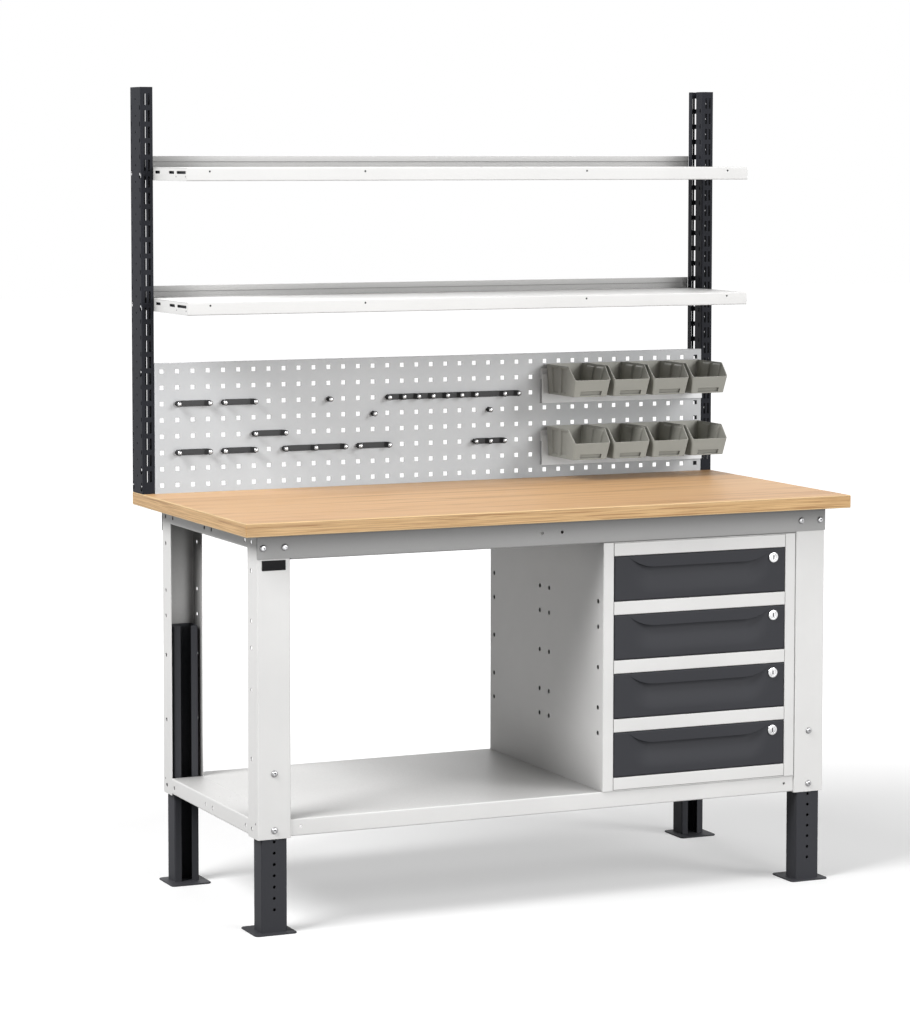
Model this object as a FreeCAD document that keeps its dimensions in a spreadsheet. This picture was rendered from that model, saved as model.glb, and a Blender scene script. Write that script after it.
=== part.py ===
import FreeCAD, Part
import math
import os
import re
import Sketcher

# A workshop bench: a wooden top on a folded steel frame with telescopic feet, a low shelf,
# a four-drawer cabinet, and a back wall of slotted uprights, two tool shelves, a perforated
# panel, hook-on bins and tool clips.
# Millimetres. X runs along the bench, Y from the front to the back, Z up from the floor.
# The origin is on the floor under the middle of the bench.

os.makedirs("parts", exist_ok=True)
doc = FreeCAD.newDocument("Workbench")

driving = {
    # worktop
    "top_length": 1500,
    "top_depth": 750,
    "top_thickness": 30,
    "top_edge": 2.5,
    "work_height": 908,
    # end frames
    "leg_inset": 42,
    "leg_setback": 46,
    "frame_depth": 616,
    "leg_width": 78,
    "leg_depth": 58,
    "leg_sheet": 2,
    "leg_bottom": 209.5,
    "top_rail_height": 34.5,
    "top_rail_flange": 30,
    "low_rail_height": 37,
    "low_rail_flange": 74,
    "low_rail_lip": 20,
    "low_rail_ledge": 25,
    # telescopic feet
    "inner_width": 60,
    "inner_depth": 48,
    "inner_lip": 17,
    "inner_length": 600,
    "slide_gap": 0.3,
    "foot_side": 98,
    "foot_thickness": 3.5,
    "foot_corner": 6,
    "foot_offset": 10,
    # bolts of the frame
    "bolt_head_radius": 7.2,
    "bolt_head_height": 3.6,
    "leg_bolt_rise": 19,
    "leg_bolt_spacing": 125,
    "beam_bolt_drop": 30,
    "beam_bolt_spacing": 50,
    # beams under the top
    "beam_height": 57.5,
    "beam_flange": 40,
    "beam_sheet": 2,
    "beam_gap": 0.5,
    "beam_hole_spacing": 50,
    "beam_hole_drop": 28,
    "beam_hole_radius": 3.5,
    # low shelf
    "shelf_height": 250,
    "shelf_sheet": 1.5,
    "shelf_lip": 38,
    "shelf_return": 12,
    "shelf_setback": 4,
    "shelf_side_gap": 6,
    "shelf_seam": 0.5,
    # blank plate on the left leg
    "plate_width": 55,
    "plate_height": 22,
    "plate_thickness": 0.8,
    # drawer cabinet
    "cabinet_width": 500,
    "cabinet_depth": 608,
    "cabinet_sheet": 1.5,
    "cabinet_gap": 0.5,
    "post_width": 27.5,
    "front_return": 20,
    "base_rail": 30.5,
    "cross_rail": 31,
    "head_rail": 32,
    # drawers
    "drawer_gap": 1,
    "front_sheet": 1.5,
    "front_flange": 13,
    "box_sheet": 1.2,
    "box_lift": 4,
    "box_height": 66,
    "box_depth": 560,
    "grip_margin": 40,
    "grip_drop": 27,
    "grip_curve": 64,
    "grip_reach": 75,
    "grip_depth": 15,
    "grip_throat": 40,
    # runners
    "runner_space": 12.7,
    "runner_height": 45,
    "runner_length": 548,
    "runner_sheet": 1.2,
    "runner_lip": 5,
    "runner_gap": 0.4,
    "runner_start": 1.5,
    # locks
    "lock_inset": 30.8,
    "lock_drop": 21,
    "lock_head_radius": 12,
    "lock_head_height": 3,
    "lock_radius": 8,
    "lock_fit": 0.05,
    "lock_clearance": 0.5,
    "cam_length": 31,
    "cam_width": 9,
    "cam_thickness": 2,
    "key_width": 1.6,
    "key_height": 8,
    "key_depth": 2,
    # uprights
    "upright_width": 30,
    "upright_depth": 75,
    "upright_sheet": 2,
    "upright_height": 943,
    "upright_front_lip": 34.5,
    "upright_back_lip": 14,
    "slot_height": 26.4,
    "slot_width": 5,
    "slot_column": 10,
    "slot_margin": 28.6,
    "bracket_sheet": 3,
    "bracket_height": 50,
    "bracket_length": 66,
    "bracket_foot": 25,
    # tool shelves
    "tray_depth": 304,
    "tray_sheet": 1.5,
    "tray_lip": 30,
    "tray_return": 12,
    "tray_upstand": 26,
    "tray_hem": 13,
    # perforated panel
    "panel_height": 304,
    "panel_sheet": 1.5,
    "panel_fold": 20,
    "grid_pitch": 38,
    "grid_hole": 10,
    "grid_edge": 12,
    # rails for the bins
    "rail_length": 444,
    "rail_end_gap": 2,
    "rail_height": 85,
    "rail_stand": 7.5,
    "rail_sheet": 1.5,
    "rail_gutter": 60,
    "rail_hook": 12,
    "rail_drop": 37,
    "rail_rise": 30,
    # bins
    "bin_margin": 8,
    "bin_space": 6.5,
    "bin_base_width": 90,
    "bin_base_depth": 140.7,
    "bin_height": 73,
    "bin_front": 40,
    "bin_lean": 15,
    "bin_mouth": 34,
    "bin_wall": 2,
    "bin_rise": 23.5,
    "bin_hook_width": 60,
    "bin_hook_gap": 0.3,
    "bin_hook_drop": 7,
    "label_width": 57,
    "label_height": 11,
    "label_rise": 2.5,
    "label_recess": 1.2,
    # tool clips
    "clip_height": 14,
    "clip_strap": 3,
    "clip_reach": 16,
    "clip_flare": 8,
    "clip_split": 0.1,
    "stem_radius": 4.5,
    "knob_radius": 5.5,
    "knob_length": 4.5,
    # how far a cutting tool runs past the face it cuts
    "overrun": 5,
}

# The tool shelves' surfaces, as shares of the free height of the uprights above the panel.
tray_height_shares = {"low": 0.2363, "high": 0.7105}

# Where the tool clips sit: rows counted down from the top of the panel, columns as shares of
# the panel's length, taken at the middle of a column, from one end of the clip to the other.
clip_shares = (
    (2, 0.0395, 0.0921),
    (2, 0.1184, 0.1711),
    (2, 0.4079, 0.4342),
    (2, 0.4342, 0.4605),
    (2, 0.4605, 0.4868),
    (2, 0.4868, 0.5132),
    (2, 0.5132, 0.5395),
    (2, 0.5395, 0.5658),
    (2, 0.5658, 0.6184),
    (2, 0.6184, 0.6447),
    (4, 0.1711, 0.2237),
    (5, 0.0395, 0.0921),
    (5, 0.1184, 0.1711),
    (5, 0.2237, 0.2763),
    (5, 0.2763, 0.3289),
    (5, 0.3553, 0.4079),
    (5, 0.5658, 0.5921),
    (5, 0.5921, 0.6184),
)
stem_shares = ((2, 0.3026), (3, 0.3816), (3, 0.5921))

# Places and sizes worked out from the driving ones.
derived = {
    "front_edge": "-top_depth / 2",
    "top_under": "work_height - top_thickness",
    "leg_outer": "top_length / 2 - leg_inset",
    "leg_inner": "leg_outer - leg_width",
    "leg_middle": "leg_outer - leg_width / 2",
    "frame_front": "leg_setback - top_depth / 2",
    "frame_back": "frame_front + frame_depth",
    "frame_middle": "frame_front + frame_depth / 2",
    "beam_under": "top_under - beam_height",
    "cabinet_half": "cabinet_width / 2",
    "cabinet_middle": "leg_inner - cabinet_half",
    "cabinet_height": "beam_under - cabinet_gap - shelf_height",
    "opening_half": "cabinet_half - post_width",
    "opening_height": "(cabinet_height - base_rail - head_rail - 3 * cross_rail) / 4",
    "opening_pitch": "opening_height + cross_rail",
    "front_half": "opening_half - drawer_gap",
    "front_height": "opening_height - 2 * drawer_gap",
    "box_half": "opening_half - runner_space",
    "runner_rise": "box_lift + box_height / 2",
    "runner_middle": "frame_front + front_return + runner_start + runner_length / 2",
    "lock_half": "lock_radius * sqrt(0.5)",
    "lock_place": "front_half - lock_inset",
    "lock_rise": "opening_height - drawer_gap - lock_drop",
    "upright_outer": "top_length / 2",
    "upright_inner": "upright_outer - upright_width",
    "upright_front": "top_depth / 2 - upright_depth",
    "upright_top": "work_height + upright_height",
    "slot_count": "floor((upright_height - 2 * slot_margin) / grid_pitch) + 1",
    "panel_top": "work_height + panel_height",
    "panel_face": "upright_front - panel_sheet",
    "panel_columns": "floor((2 * upright_inner - 2 * grid_edge) / grid_pitch) + 1",
    "panel_rows": "floor((panel_height - 2 * grid_edge) / grid_pitch) + 1",
    "first_column": "-(panel_columns - 1) / 2 * grid_pitch",
    "first_row": "panel_top - (panel_height - (panel_rows - 1) * grid_pitch) / 2",
    "rail_middle": "upright_inner - rail_end_gap - rail_length / 2",
    "rail_face": "panel_face - rail_stand",
    "high_rail": "panel_top - rail_drop - rail_height",
    "low_rail": "work_height + rail_rise",
    "bin_pitch": "(rail_length - 2 * bin_margin) / 4",
    "bin_width": "bin_pitch - bin_space",
    "bin_slope": "bin_lean / bin_front",
    "bin_catch": "rail_gutter + rail_hook + bin_hook_gap - bin_rise",
}


# Writes out a text of named sizes in the sheet's own names, so that a property can be bound to it.
def bound(text):
    def written(match):
        word = match[0]
        if word in driving:
            return "Sizes." + word
        if word in derived:
            return "(" + bound(derived[word]) + ")"
        return word
    return re.sub(r"[a-z_]+", written, text)


sheet = doc.addObject("Spreadsheet::Sheet", "Sizes")
for row, (alias, length) in enumerate(driving.items(), 1):
    sheet.set(f"A{row}", alias)
    sheet.set(f"B{row}", str(length))
    sheet.setAlias(f"B{row}", alias)
doc.recompute()


# The number that a text of named sizes comes to.
def worth(text):
    return float(sheet.evalExpression(bound(text)))


nodes = []


# Keeps a finished piece under its own name.
def keep(piece, name):
    piece.Label = name
    nodes.append(piece)
    return piece


# Puts a piece at a named place, turned about the vertical.
def place(piece, x, y, z, turn=0):
    piece.Placement = FreeCAD.Placement(FreeCAD.Vector(), FreeCAD.Rotation(FreeCAD.Vector(0, 0, 1), turn))
    for axis, text in zip("xyz", (x, y, z)):
        piece.setExpression(f".Placement.Base.{axis}", bound(text))
    return piece


def new_body(name, x="0", y="0", z="0", turn=0):
    return place(doc.addObject("PartDesign::Body", name), x, y, z, turn)


def new_sketch(body, plane, offset="0"):
    sketch = body.newObject("Sketcher::SketchObject", body.Name + "_sketch")
    support = [feature for feature in body.Origin.OriginFeatures if feature.Role == plane][0]
    sketch.AttachmentSupport = (support, [""])
    sketch.MapMode = "FlatFace"
    sketch.setExpression(".AttachmentOffset.Base.z", bound(offset))
    return sketch


# Ties one point of a sketch to a named place.
def tie(sketch, element, point, x, y):
    for kind, text, axis in (("DistanceX", x, -2), ("DistanceY", y, -1)):
        if text == "0":
            sketch.addConstraint(Sketcher.Constraint("PointOnObject", element, point, axis))
            continue
        number = sketch.addConstraint(Sketcher.Constraint(kind, -1, 1, element, point, worth(text)))
        sketch.setExpression(f"Constraints[{number}]", bound(text))


def outline(sketch, corners):
    points = [FreeCAD.Vector(worth(x), worth(y), 0) for x, y in corners]
    first = sketch.GeometryCount
    for start, end in zip(points, points[1:] + points[:1]):
        sketch.addGeometry(Part.LineSegment(start, end), False)
    for index, (x, y) in enumerate(corners):
        before = first + (index - 1) % len(corners)
        sketch.addConstraint(Sketcher.Constraint("Coincident", before, 2, first + index, 1))
        tie(sketch, first + index, 1, x, y)
    return sketch


def rectangle(sketch, left, low, right, high):
    return outline(sketch, ((left, low), (right, low), (right, high), (left, high)))


def circle(sketch, x, y, radius):
    centre = FreeCAD.Vector(worth(x), worth(y), 0)
    ring = sketch.addGeometry(Part.Circle(centre, FreeCAD.Vector(0, 0, 1), worth(radius)), False)
    tie(sketch, ring, 3, x, y)
    number = sketch.addConstraint(Sketcher.Constraint("Radius", ring, worth(radius)))
    sketch.setExpression(f"Constraints[{number}]", bound(radius))
    return sketch


def pad(body, sketch, length, both=False, back=False):
    feature = body.newObject("PartDesign::Pad", body.Name + "_pad")
    feature.Profile = sketch
    feature.setExpression("Length", bound(length))
    feature.Midplane = both
    feature.Reversed = back
    return feature


def pocket(body, sketch, length, both=False, back=False):
    feature = body.newObject("PartDesign::Pocket", body.Name + "_pocket")
    feature.Profile = sketch
    feature.setExpression("Length", bound(length))
    feature.Midplane = both
    feature.Reversed = back
    return feature


# Repeats a cut along one of its sketch's axes.
def repeat(body, cut, axis, pitch, count, turned=False):
    feature = body.newObject("PartDesign::LinearPattern", body.Name + "_pattern")
    feature.Originals = [cut]
    feature.Direction = (cut.Profile[0], [axis])
    feature.Reversed = turned
    feature.Mode = "Spacing"
    feature.setExpression("Offset", bound(pitch))
    feature.setExpression("Occurrences", bound(count))
    body.Tip = feature
    return feature


def box(name, x, y, z, length, width, height):
    piece = place(doc.addObject("Part::Box", name), x, y, z)
    for side, text in (("Length", length), ("Width", width), ("Height", height)):
        piece.setExpression(side, bound(text))
    return piece


def group(name, pieces):
    together = doc.addObject("Part::Compound", name)
    together.Links = pieces
    return keep(together, name)


# The corners of a plain channel: a web along the first axis, two flanges along the second.
def channel(width, depth, sheet_name):
    return (
        (f"-{width} / 2", "0"),
        (f"{width} / 2", "0"),
        (f"{width} / 2", depth),
        (f"{width} / 2 - {sheet_name}", depth),
        (f"{width} / 2 - {sheet_name}", sheet_name),
        (f"-{width} / 2 + {sheet_name}", sheet_name),
        (f"-{width} / 2 + {sheet_name}", depth),
        (f"-{width} / 2", depth),
    )


# Worktop with a small bevel round its upper edge.
def worktop():
    body = new_body("worktop", z="top_under")
    slab = new_sketch(body, "XY_Plane")
    rectangle(slab, "-top_length / 2", "-top_depth / 2", "top_length / 2", "top_depth / 2")
    board = pad(body, slab, "top_thickness")
    doc.recompute()
    upper = board.Shape.BoundBox.ZMax
    rim = [
        f"Edge{number}"
        for number, edge in enumerate(board.Shape.Edges, 1)
        if min(vertex.Z for vertex in edge.Vertexes) > upper / 2
    ]
    bevel = body.newObject("PartDesign::Chamfer", "worktop_bevel")
    bevel.Base = (board, rim)
    bevel.setExpression("Size", bound("top_edge"))
    body.Tip = bevel
    keep(body, "worktop")


# Outer leg: a channel with its web to the front or the back and its mouth to the middle.
def outer_leg(name, side, front):
    y = "frame_front" if front else "frame_back"
    body = new_body(name, f"{side} * leg_middle", y, "leg_bottom", 0 if front else 180)
    profile = new_sketch(body, "XY_Plane")
    outline(profile, channel("leg_width", "leg_depth", "leg_sheet"))
    pad(body, profile, "top_under - leg_bottom")
    keep(body, name)


# Telescopic foot: a lipped channel that slides in the outer leg, welded on a square plate.
def inner_leg(name, side, front):
    inset = "leg_sheet + slide_gap"
    y = f"frame_front + {inset}" if front else f"frame_back - ({inset})"
    body = new_body(name, f"{side} * leg_middle", y, "0", 0 if front else 180)
    plate_middle = "inner_depth / 2 + foot_offset"
    plate = new_sketch(body, "XY_Plane")
    low_edge = f"{plate_middle} - foot_side / 2"
    high_edge = f"{plate_middle} + foot_side / 2"
    rectangle(plate, "-foot_side / 2", low_edge, "foot_side / 2", high_edge)
    foot = pad(body, plate, "foot_thickness")
    doc.recompute()
    corners = [
        f"Edge{number}"
        for number, edge in enumerate(foot.Shape.Edges, 1)
        if abs(edge.Vertexes[0].Z - edge.Vertexes[1].Z) > worth("foot_thickness") / 2
    ]
    clipped = body.newObject("PartDesign::Chamfer", name + "_corners")
    clipped.Base = (foot, corners)
    clipped.setExpression("Size", bound("foot_corner"))
    half = "inner_width / 2"
    lip = "inner_width / 2 - inner_lip"
    profile = new_sketch(body, "XY_Plane", "foot_thickness")
    outline(profile, (
        (f"-{half}", "0"),
        (half, "0"),
        (half, "inner_depth"),
        (lip, "inner_depth"),
        (lip, "inner_depth - leg_sheet"),
        (f"{half} - leg_sheet", "inner_depth - leg_sheet"),
        (f"{half} - leg_sheet", "leg_sheet"),
        (f"-({half} - leg_sheet)", "leg_sheet"),
        (f"-({half} - leg_sheet)", "inner_depth - leg_sheet"),
        (f"-({lip})", "inner_depth - leg_sheet"),
        (f"-({lip})", "inner_depth"),
        (f"-{half}", "inner_depth"),
    ))
    pad(body, profile, "inner_length")
    keep(body, name)


# Turns a piece that is made upright about the X axis, so that it points to the front or the back.
def lay(piece, x, y, z, angle):
    place(piece, x, y, z)
    piece.Placement.Rotation = FreeCAD.Rotation(FreeCAD.Vector(1, 0, 0), angle)
    return piece


# The low round head of a bolt, standing on a face that looks to the front or the back.
def bolt_head(x, y, z, front):
    head = doc.addObject("Part::Prism", "bolt_head")
    head.Polygon = 12
    head.setExpression("Circumradius", bound("bolt_head_radius"))
    head.setExpression("Height", bound("bolt_head_height"))
    return lay(head, x, y, z, 90 if front else -90)


def frame_bolts():
    leg_bolts = []
    beam_bolts = []
    for side in (-1, 1):
        for front in (True, False):
            web = "frame_front" if front else "frame_back"
            skin = "frame_front - beam_sheet" if front else "frame_back + beam_sheet"
            for step in (0, 1):
                rise = f"leg_bottom + leg_bolt_rise + {step} * leg_bolt_spacing"
                leg_bolts.append(bolt_head(f"{side} * leg_middle", web, rise, front))
            for step in (-1, 1):
                x = f"{side} * leg_middle + {step} * beam_bolt_spacing / 2"
                beam_bolts.append(bolt_head(x, skin, "top_under - beam_bolt_drop", front))
    group("leg_bolts", leg_bolts)
    group("beam_bolts", beam_bolts)


# Beam under the top: a channel that laps over the legs' webs, its flanges notched at the legs.
def beam(name, front):
    y = "frame_front - beam_sheet" if front else "frame_back + beam_sheet"
    body = new_body(name, "0", y, "beam_under", 0 if front else 180)
    profile = new_sketch(body, "YZ_Plane")
    outline(profile, (
        ("0", "0"),
        ("beam_flange", "0"),
        ("beam_flange", "beam_sheet"),
        ("beam_sheet", "beam_sheet"),
        ("beam_sheet", "beam_height - beam_sheet"),
        ("beam_flange", "beam_height - beam_sheet"),
        ("beam_flange", "beam_height"),
        ("0", "beam_height"),
    ))
    pad(body, profile, "2 * leg_outer", both=True)
    notches = new_sketch(body, "XY_Plane")
    far = "beam_flange + overrun"
    rectangle(notches, "leg_inner - beam_gap", "beam_sheet", "leg_outer + overrun", far)
    rectangle(notches, "-leg_outer - overrun", "beam_sheet", "-(leg_inner - beam_gap)", far)
    pocket(body, notches, "beam_height", back=True)
    if front:
        holes = new_sketch(body, "XZ_Plane")
        for side in (-1, 1):
            circle(holes, f"{side} * beam_hole_spacing / 2", "beam_height - beam_hole_drop", "beam_hole_radius")
        pocket(body, holes, "beam_sheet + overrun")
    keep(body, name)


# Rail along the top of an end frame, between its two legs.
def top_side_rail(name, side):
    z = "top_under - top_rail_height"
    body = new_body(name, f"{side} * leg_outer", "frame_middle", z, 0 if side < 0 else 180)
    profile = new_sketch(body, "XZ_Plane")
    outline(profile, (
        ("0", "0"),
        ("top_rail_flange", "0"),
        ("top_rail_flange", "leg_sheet"),
        ("leg_sheet", "leg_sheet"),
        ("leg_sheet", "top_rail_height - leg_sheet"),
        ("top_rail_flange", "top_rail_height - leg_sheet"),
        ("top_rail_flange", "top_rail_height"),
        ("0", "top_rail_height"),
    ))
    pad(body, profile, "frame_depth - 2 * leg_depth", both=True)
    keep(body, name)


# Rail along the bottom of an end frame, with a wide upper flange and a ledge for the low shelf.
def low_side_rail(name, side):
    z = "shelf_height - low_rail_height"
    body = new_body(name, f"{side} * leg_outer", "frame_middle", z, 0 if side < 0 else 180)
    ledge = "low_rail_height - shelf_sheet"
    profile = new_sketch(body, "XZ_Plane")
    outline(profile, (
        ("0", "0"),
        ("low_rail_lip", "0"),
        ("low_rail_lip", "leg_sheet"),
        ("leg_sheet", "leg_sheet"),
        ("leg_sheet", "low_rail_height - leg_sheet"),
        ("low_rail_flange - leg_sheet", "low_rail_height - leg_sheet"),
        ("low_rail_flange - leg_sheet", f"{ledge} - leg_sheet"),
        ("low_rail_flange + low_rail_ledge", f"{ledge} - leg_sheet"),
        ("low_rail_flange + low_rail_ledge", ledge),
        ("low_rail_flange", ledge),
        ("low_rail_flange", "low_rail_height"),
        ("0", "low_rail_height"),
    ))
    pad(body, profile, "frame_depth - 2 * leg_depth", both=True)
    keep(body, name)


# Low shelf: a sheet with a turned-down lip at the front and the back, narrower between the legs.
def low_shelf():
    body = new_body("low_shelf", "0", "frame_middle", "shelf_height")
    wide = "leg_outer - low_rail_flange - shelf_seam"
    narrow = "leg_inner - shelf_side_gap"
    deep = "frame_depth / 2 - shelf_setback"
    step = "frame_depth / 2 - leg_depth - shelf_seam"
    corners = [(narrow, f"-({deep})"), (narrow, f"-({step})"), (wide, f"-({step})")]
    corners += [(wide, step), (narrow, step), (narrow, deep)]
    corners += [(f"-({x})", y) for x, y in reversed(corners)]
    plan = outline(new_sketch(body, "XY_Plane"), corners)
    pad(body, plan, "shelf_sheet", back=True)
    for sign in ("-", ""):
        edge = f"{sign}({deep})"
        skin = f"{sign}({deep} - shelf_sheet)"
        lip = f"{sign}({deep} - shelf_return)"
        profile = new_sketch(body, "YZ_Plane")
        outline(profile, (
            (edge, "-shelf_sheet"),
            (edge, "-shelf_lip"),
            (lip, "-shelf_lip"),
            (lip, "shelf_sheet - shelf_lip"),
            (skin, "shelf_sheet - shelf_lip"),
            (skin, "-shelf_sheet"),
        ))
        pad(body, profile, f"2 * ({narrow})", both=True)
    keep(body, "low_shelf")


def blank_plate():
    x = "-leg_middle - plate_width / 2"
    y = "frame_front - plate_thickness"
    z = "beam_under - plate_height"
    keep(box("blank_plate", x, y, z, "plate_width", "plate_thickness", "plate_height"), "blank_plate")


# Cabinet sides and back in one folded sheet, with the front posts turned in.
def cabinet_shell():
    body = new_body("cabinet_shell", "cabinet_middle", "frame_front", "shelf_height + cabinet_sheet")
    inner = "cabinet_half - cabinet_sheet"
    post = "opening_half + cabinet_sheet"
    back = "cabinet_depth - cabinet_sheet"
    right = (
        (inner, back),
        (inner, "cabinet_sheet"),
        (post, "cabinet_sheet"),
        (post, "front_return"),
        ("opening_half", "front_return"),
        ("opening_half", "0"),
        ("cabinet_half", "0"),
        ("cabinet_half", "cabinet_depth"),
    )
    left = tuple((f"-({x})", y) for x, y in reversed(right))
    plan = outline(new_sketch(body, "XY_Plane"), right + left)
    pad(body, plan, "cabinet_height - 2 * cabinet_sheet")
    keep(body, "cabinet_shell")


def cabinet_plates():
    x = "cabinet_middle - cabinet_half"
    levels = (("cabinet_floor", "shelf_height"), ("cabinet_roof", "shelf_height + cabinet_height - cabinet_sheet"))
    for name, z in levels:
        plate = box(name, x, "frame_front", z, "cabinet_width", "cabinet_depth", "cabinet_sheet")
        keep(plate, name)


# Rails across the cabinet's front, above and below each drawer.
def cabinet_rails():
    top = "cabinet_height - cabinet_sheet"
    spans = [("cabinet_sheet", "base_rail")]
    for level in (1, 2, 3):
        low = f"base_rail + {level} * opening_pitch - cross_rail"
        spans.append((low, f"{low} + cross_rail"))
    spans.append((f"{top} + cabinet_sheet - head_rail", top))
    rails = []
    for low, high in spans:
        body = new_body("cabinet_rail", "cabinet_middle", "frame_front", "shelf_height")
        profile = new_sketch(body, "YZ_Plane")
        outline(profile, (
            ("0", low),
            ("front_return", low),
            ("front_return", f"{low} + cabinet_sheet"),
            ("cabinet_sheet", f"{low} + cabinet_sheet"),
            ("cabinet_sheet", f"{high} - cabinet_sheet"),
            ("front_return", f"{high} - cabinet_sheet"),
            ("front_return", high),
            ("0", high),
        ))
        pad(body, profile, "2 * opening_half", both=True)
        rails.append(body)
    group("cabinet_rails", rails)


# One member of a drawer runner, drawn across its length for the left side.
def runner_member(name, level, side, corners):
    x = f"cabinet_middle + {side} * opening_half"
    z = f"shelf_height + base_rail + {level} * opening_pitch + runner_rise"
    body = new_body(name, x, "runner_middle", z, 0 if side < 0 else 180)
    profile = outline(new_sketch(body, "XZ_Plane"), corners)
    pad(body, profile, "runner_length", both=True)
    return body


# Fixed member: a web with two lips for the sliding member, standing off the cabinet's side.
def fixed_corners():
    wall = "-(post_width - cabinet_sheet)"
    high = "runner_height / 2"
    skin = "runner_height / 2 - runner_sheet"
    upper = (
        ("0", skin),
        (wall, skin),
        (wall, high),
        ("runner_lip", high),
        ("runner_lip", skin),
        ("runner_sheet", skin),
    )
    return upper + tuple((x, f"-({z})") for x, z in reversed(upper))


def middle_corners():
    start = "runner_sheet + runner_gap"
    end = "runner_space - runner_sheet - 3 * runner_sheet"
    high = "runner_height / 2 - runner_sheet - runner_gap"
    upper = (
        (f"{start} + runner_sheet", f"{high} - runner_sheet"),
        (end, f"{high} - runner_sheet"),
        (end, high),
        (start, high),
    )
    return upper + tuple((x, f"-({z})") for x, z in reversed(upper))


def drawer_corners():
    start = "2 * runner_sheet + 4 * runner_gap"
    high = "runner_height / 2 - 2 * runner_sheet - 2 * runner_gap"
    upper = (
        ("runner_space - runner_sheet", f"{high} - runner_sheet"),
        (start, f"{high} - runner_sheet"),
        (start, high),
        ("runner_space", high),
    )
    return upper + tuple((x, f"-({z})") for x, z in reversed(upper))


# Drawer box: an open tray, with the drawer's members of its two runners on its sides.
def drawer_box(name, level):
    y = "frame_front + front_return"
    z = f"shelf_height + base_rail + {level} * opening_pitch"
    body = new_body(name + "_tray", "cabinet_middle", y, z)
    plan = new_sketch(body, "XY_Plane", "box_lift")
    rectangle(plan, "-box_half", "0", "box_half", "box_depth")
    pad(body, plan, "box_height")
    hollow = new_sketch(body, "XY_Plane", "box_lift + box_sheet")
    side = "box_half - box_sheet"
    rectangle(hollow, f"-({side})", "box_sheet", side, "box_depth - box_sheet")
    pocket(body, hollow, "box_height", back=True)
    members = [runner_member(name + "_member", level, side, drawer_corners()) for side in (-1, 1)]
    group(name, [body] + members)


# The grip's outline seen from the front: level at the top, an arc down at each end.
def grip_face(drop, top):
    half = worth("front_half - grip_margin")
    curve = worth("grip_curve")
    radius = (curve ** 2 + drop ** 2) / (2 * drop)
    bend = math.asin(curve / radius) / 2
    across = radius * math.sin(bend)
    down = radius * (1 - math.cos(bend))
    corner = FreeCAD.Vector(half, 0, top)
    low = FreeCAD.Vector(half - curve, 0, top - drop)
    between = FreeCAD.Vector(half - curve + across, 0, top - drop + down)
    opposite = [FreeCAD.Vector(-point.x, point.y, point.z) for point in (corner, between, low)]
    edges = (
        Part.LineSegment(opposite[0], corner),
        Part.Arc(corner, between, low),
        Part.LineSegment(low, opposite[2]),
        Part.Arc(opposite[2], opposite[1], opposite[0]),
    )
    return Part.Face(Part.Wire([line.toShape() for line in edges]))


# The pressed hollow behind the grip, widest at the front; grown by a skin for the inside of the sheet.
def grip_hollow(skin):
    top = worth("front_height - front_sheet") + skin
    wide = worth("front_half - grip_margin") + skin
    narrow = wide - worth("grip_curve / 2")
    low = top - worth("grip_reach - front_sheet") - 2 * skin
    throat = top - worth("grip_throat - front_sheet") - 2 * skin
    depth = worth("grip_depth") + skin
    return Part.makeWedge(-wide, 0, low, throat, -narrow, wide, depth, top, top, narrow)


# Drawer front: a folded pan with flanges at its back that lie on the box, pressed in below a lip
# that hangs from its top edge as the grip.
def drawer_front(name, level):
    width = 2 * worth("front_half")
    height = worth("front_height")
    depth = worth("front_return")
    skin = worth("front_sheet")
    corner = FreeCAD.Vector(-width / 2, 0, 0)
    block = Part.makeBox(width, depth, height, corner)
    flange = worth("front_flange")
    inside = corner + FreeCAD.Vector(skin, skin, skin)
    mouth = corner + FreeCAD.Vector(flange, skin, flange)
    room = Part.makeBox(width - 2 * skin, depth - 2 * skin, height - 2 * skin, inside)
    pan = room.fuse(Part.makeBox(width - 2 * flange, depth, height - 2 * flange, mouth))
    top = height - skin
    drop = worth("grip_drop") - skin
    lip = grip_face(drop, top).extrude(FreeCAD.Vector(0, skin, 0))
    barrel = Part.makeCylinder(
        worth("lock_radius + lock_fit"),
        depth,
        FreeCAD.Vector(worth("lock_place"), 0, worth("lock_rise - drawer_gap")),
        FreeCAD.Vector(0, 1, 0),
    )
    pressed = block.cut(grip_hollow(0).cut(lip))
    shell = pressed.cut(pan.cut(grip_hollow(skin))).cut(barrel)
    piece = doc.addObject("Part::Feature", name)
    piece.Shape = shell.removeSplitter()
    z = f"shelf_height + base_rail + {level} * opening_pitch + drawer_gap"
    keep(place(piece, "cabinet_middle", "frame_front", z), name)


# Lock: a round head with a key slot, a square barrel through the front, and a cam behind it.
def lock(name, level):
    x = "cabinet_middle + lock_place"
    z = f"shelf_height + base_rail + {level} * opening_pitch + lock_rise"
    body = new_body(name, x, "frame_front", z)
    behind = "front_return + lock_clearance"
    turns = [step * math.pi / 10 for step in range(20)]
    rim = [(f"lock_head_radius * {math.cos(turn):.4f}", f"lock_head_radius * {math.sin(turn):.4f}") for turn in turns]
    pad(body, outline(new_sketch(body, "XZ_Plane"), rim), "lock_head_height")
    barrel = new_sketch(body, "XZ_Plane")
    rectangle(barrel, "-lock_half", "-lock_half", "lock_half", "lock_half")
    pad(body, barrel, behind, back=True)
    cam = new_sketch(body, "XZ_Plane", f"-({behind})")
    rectangle(cam, "-cam_length", "-cam_width / 2", "cam_width / 2", "cam_width / 2")
    pad(body, cam, "cam_thickness", back=True)
    slot = new_sketch(body, "XZ_Plane", "lock_head_height")
    rectangle(slot, "-key_width / 2", "-key_height / 2", "key_width / 2", "key_height / 2")
    pocket(body, slot, "key_depth")
    keep(body, name)


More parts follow.
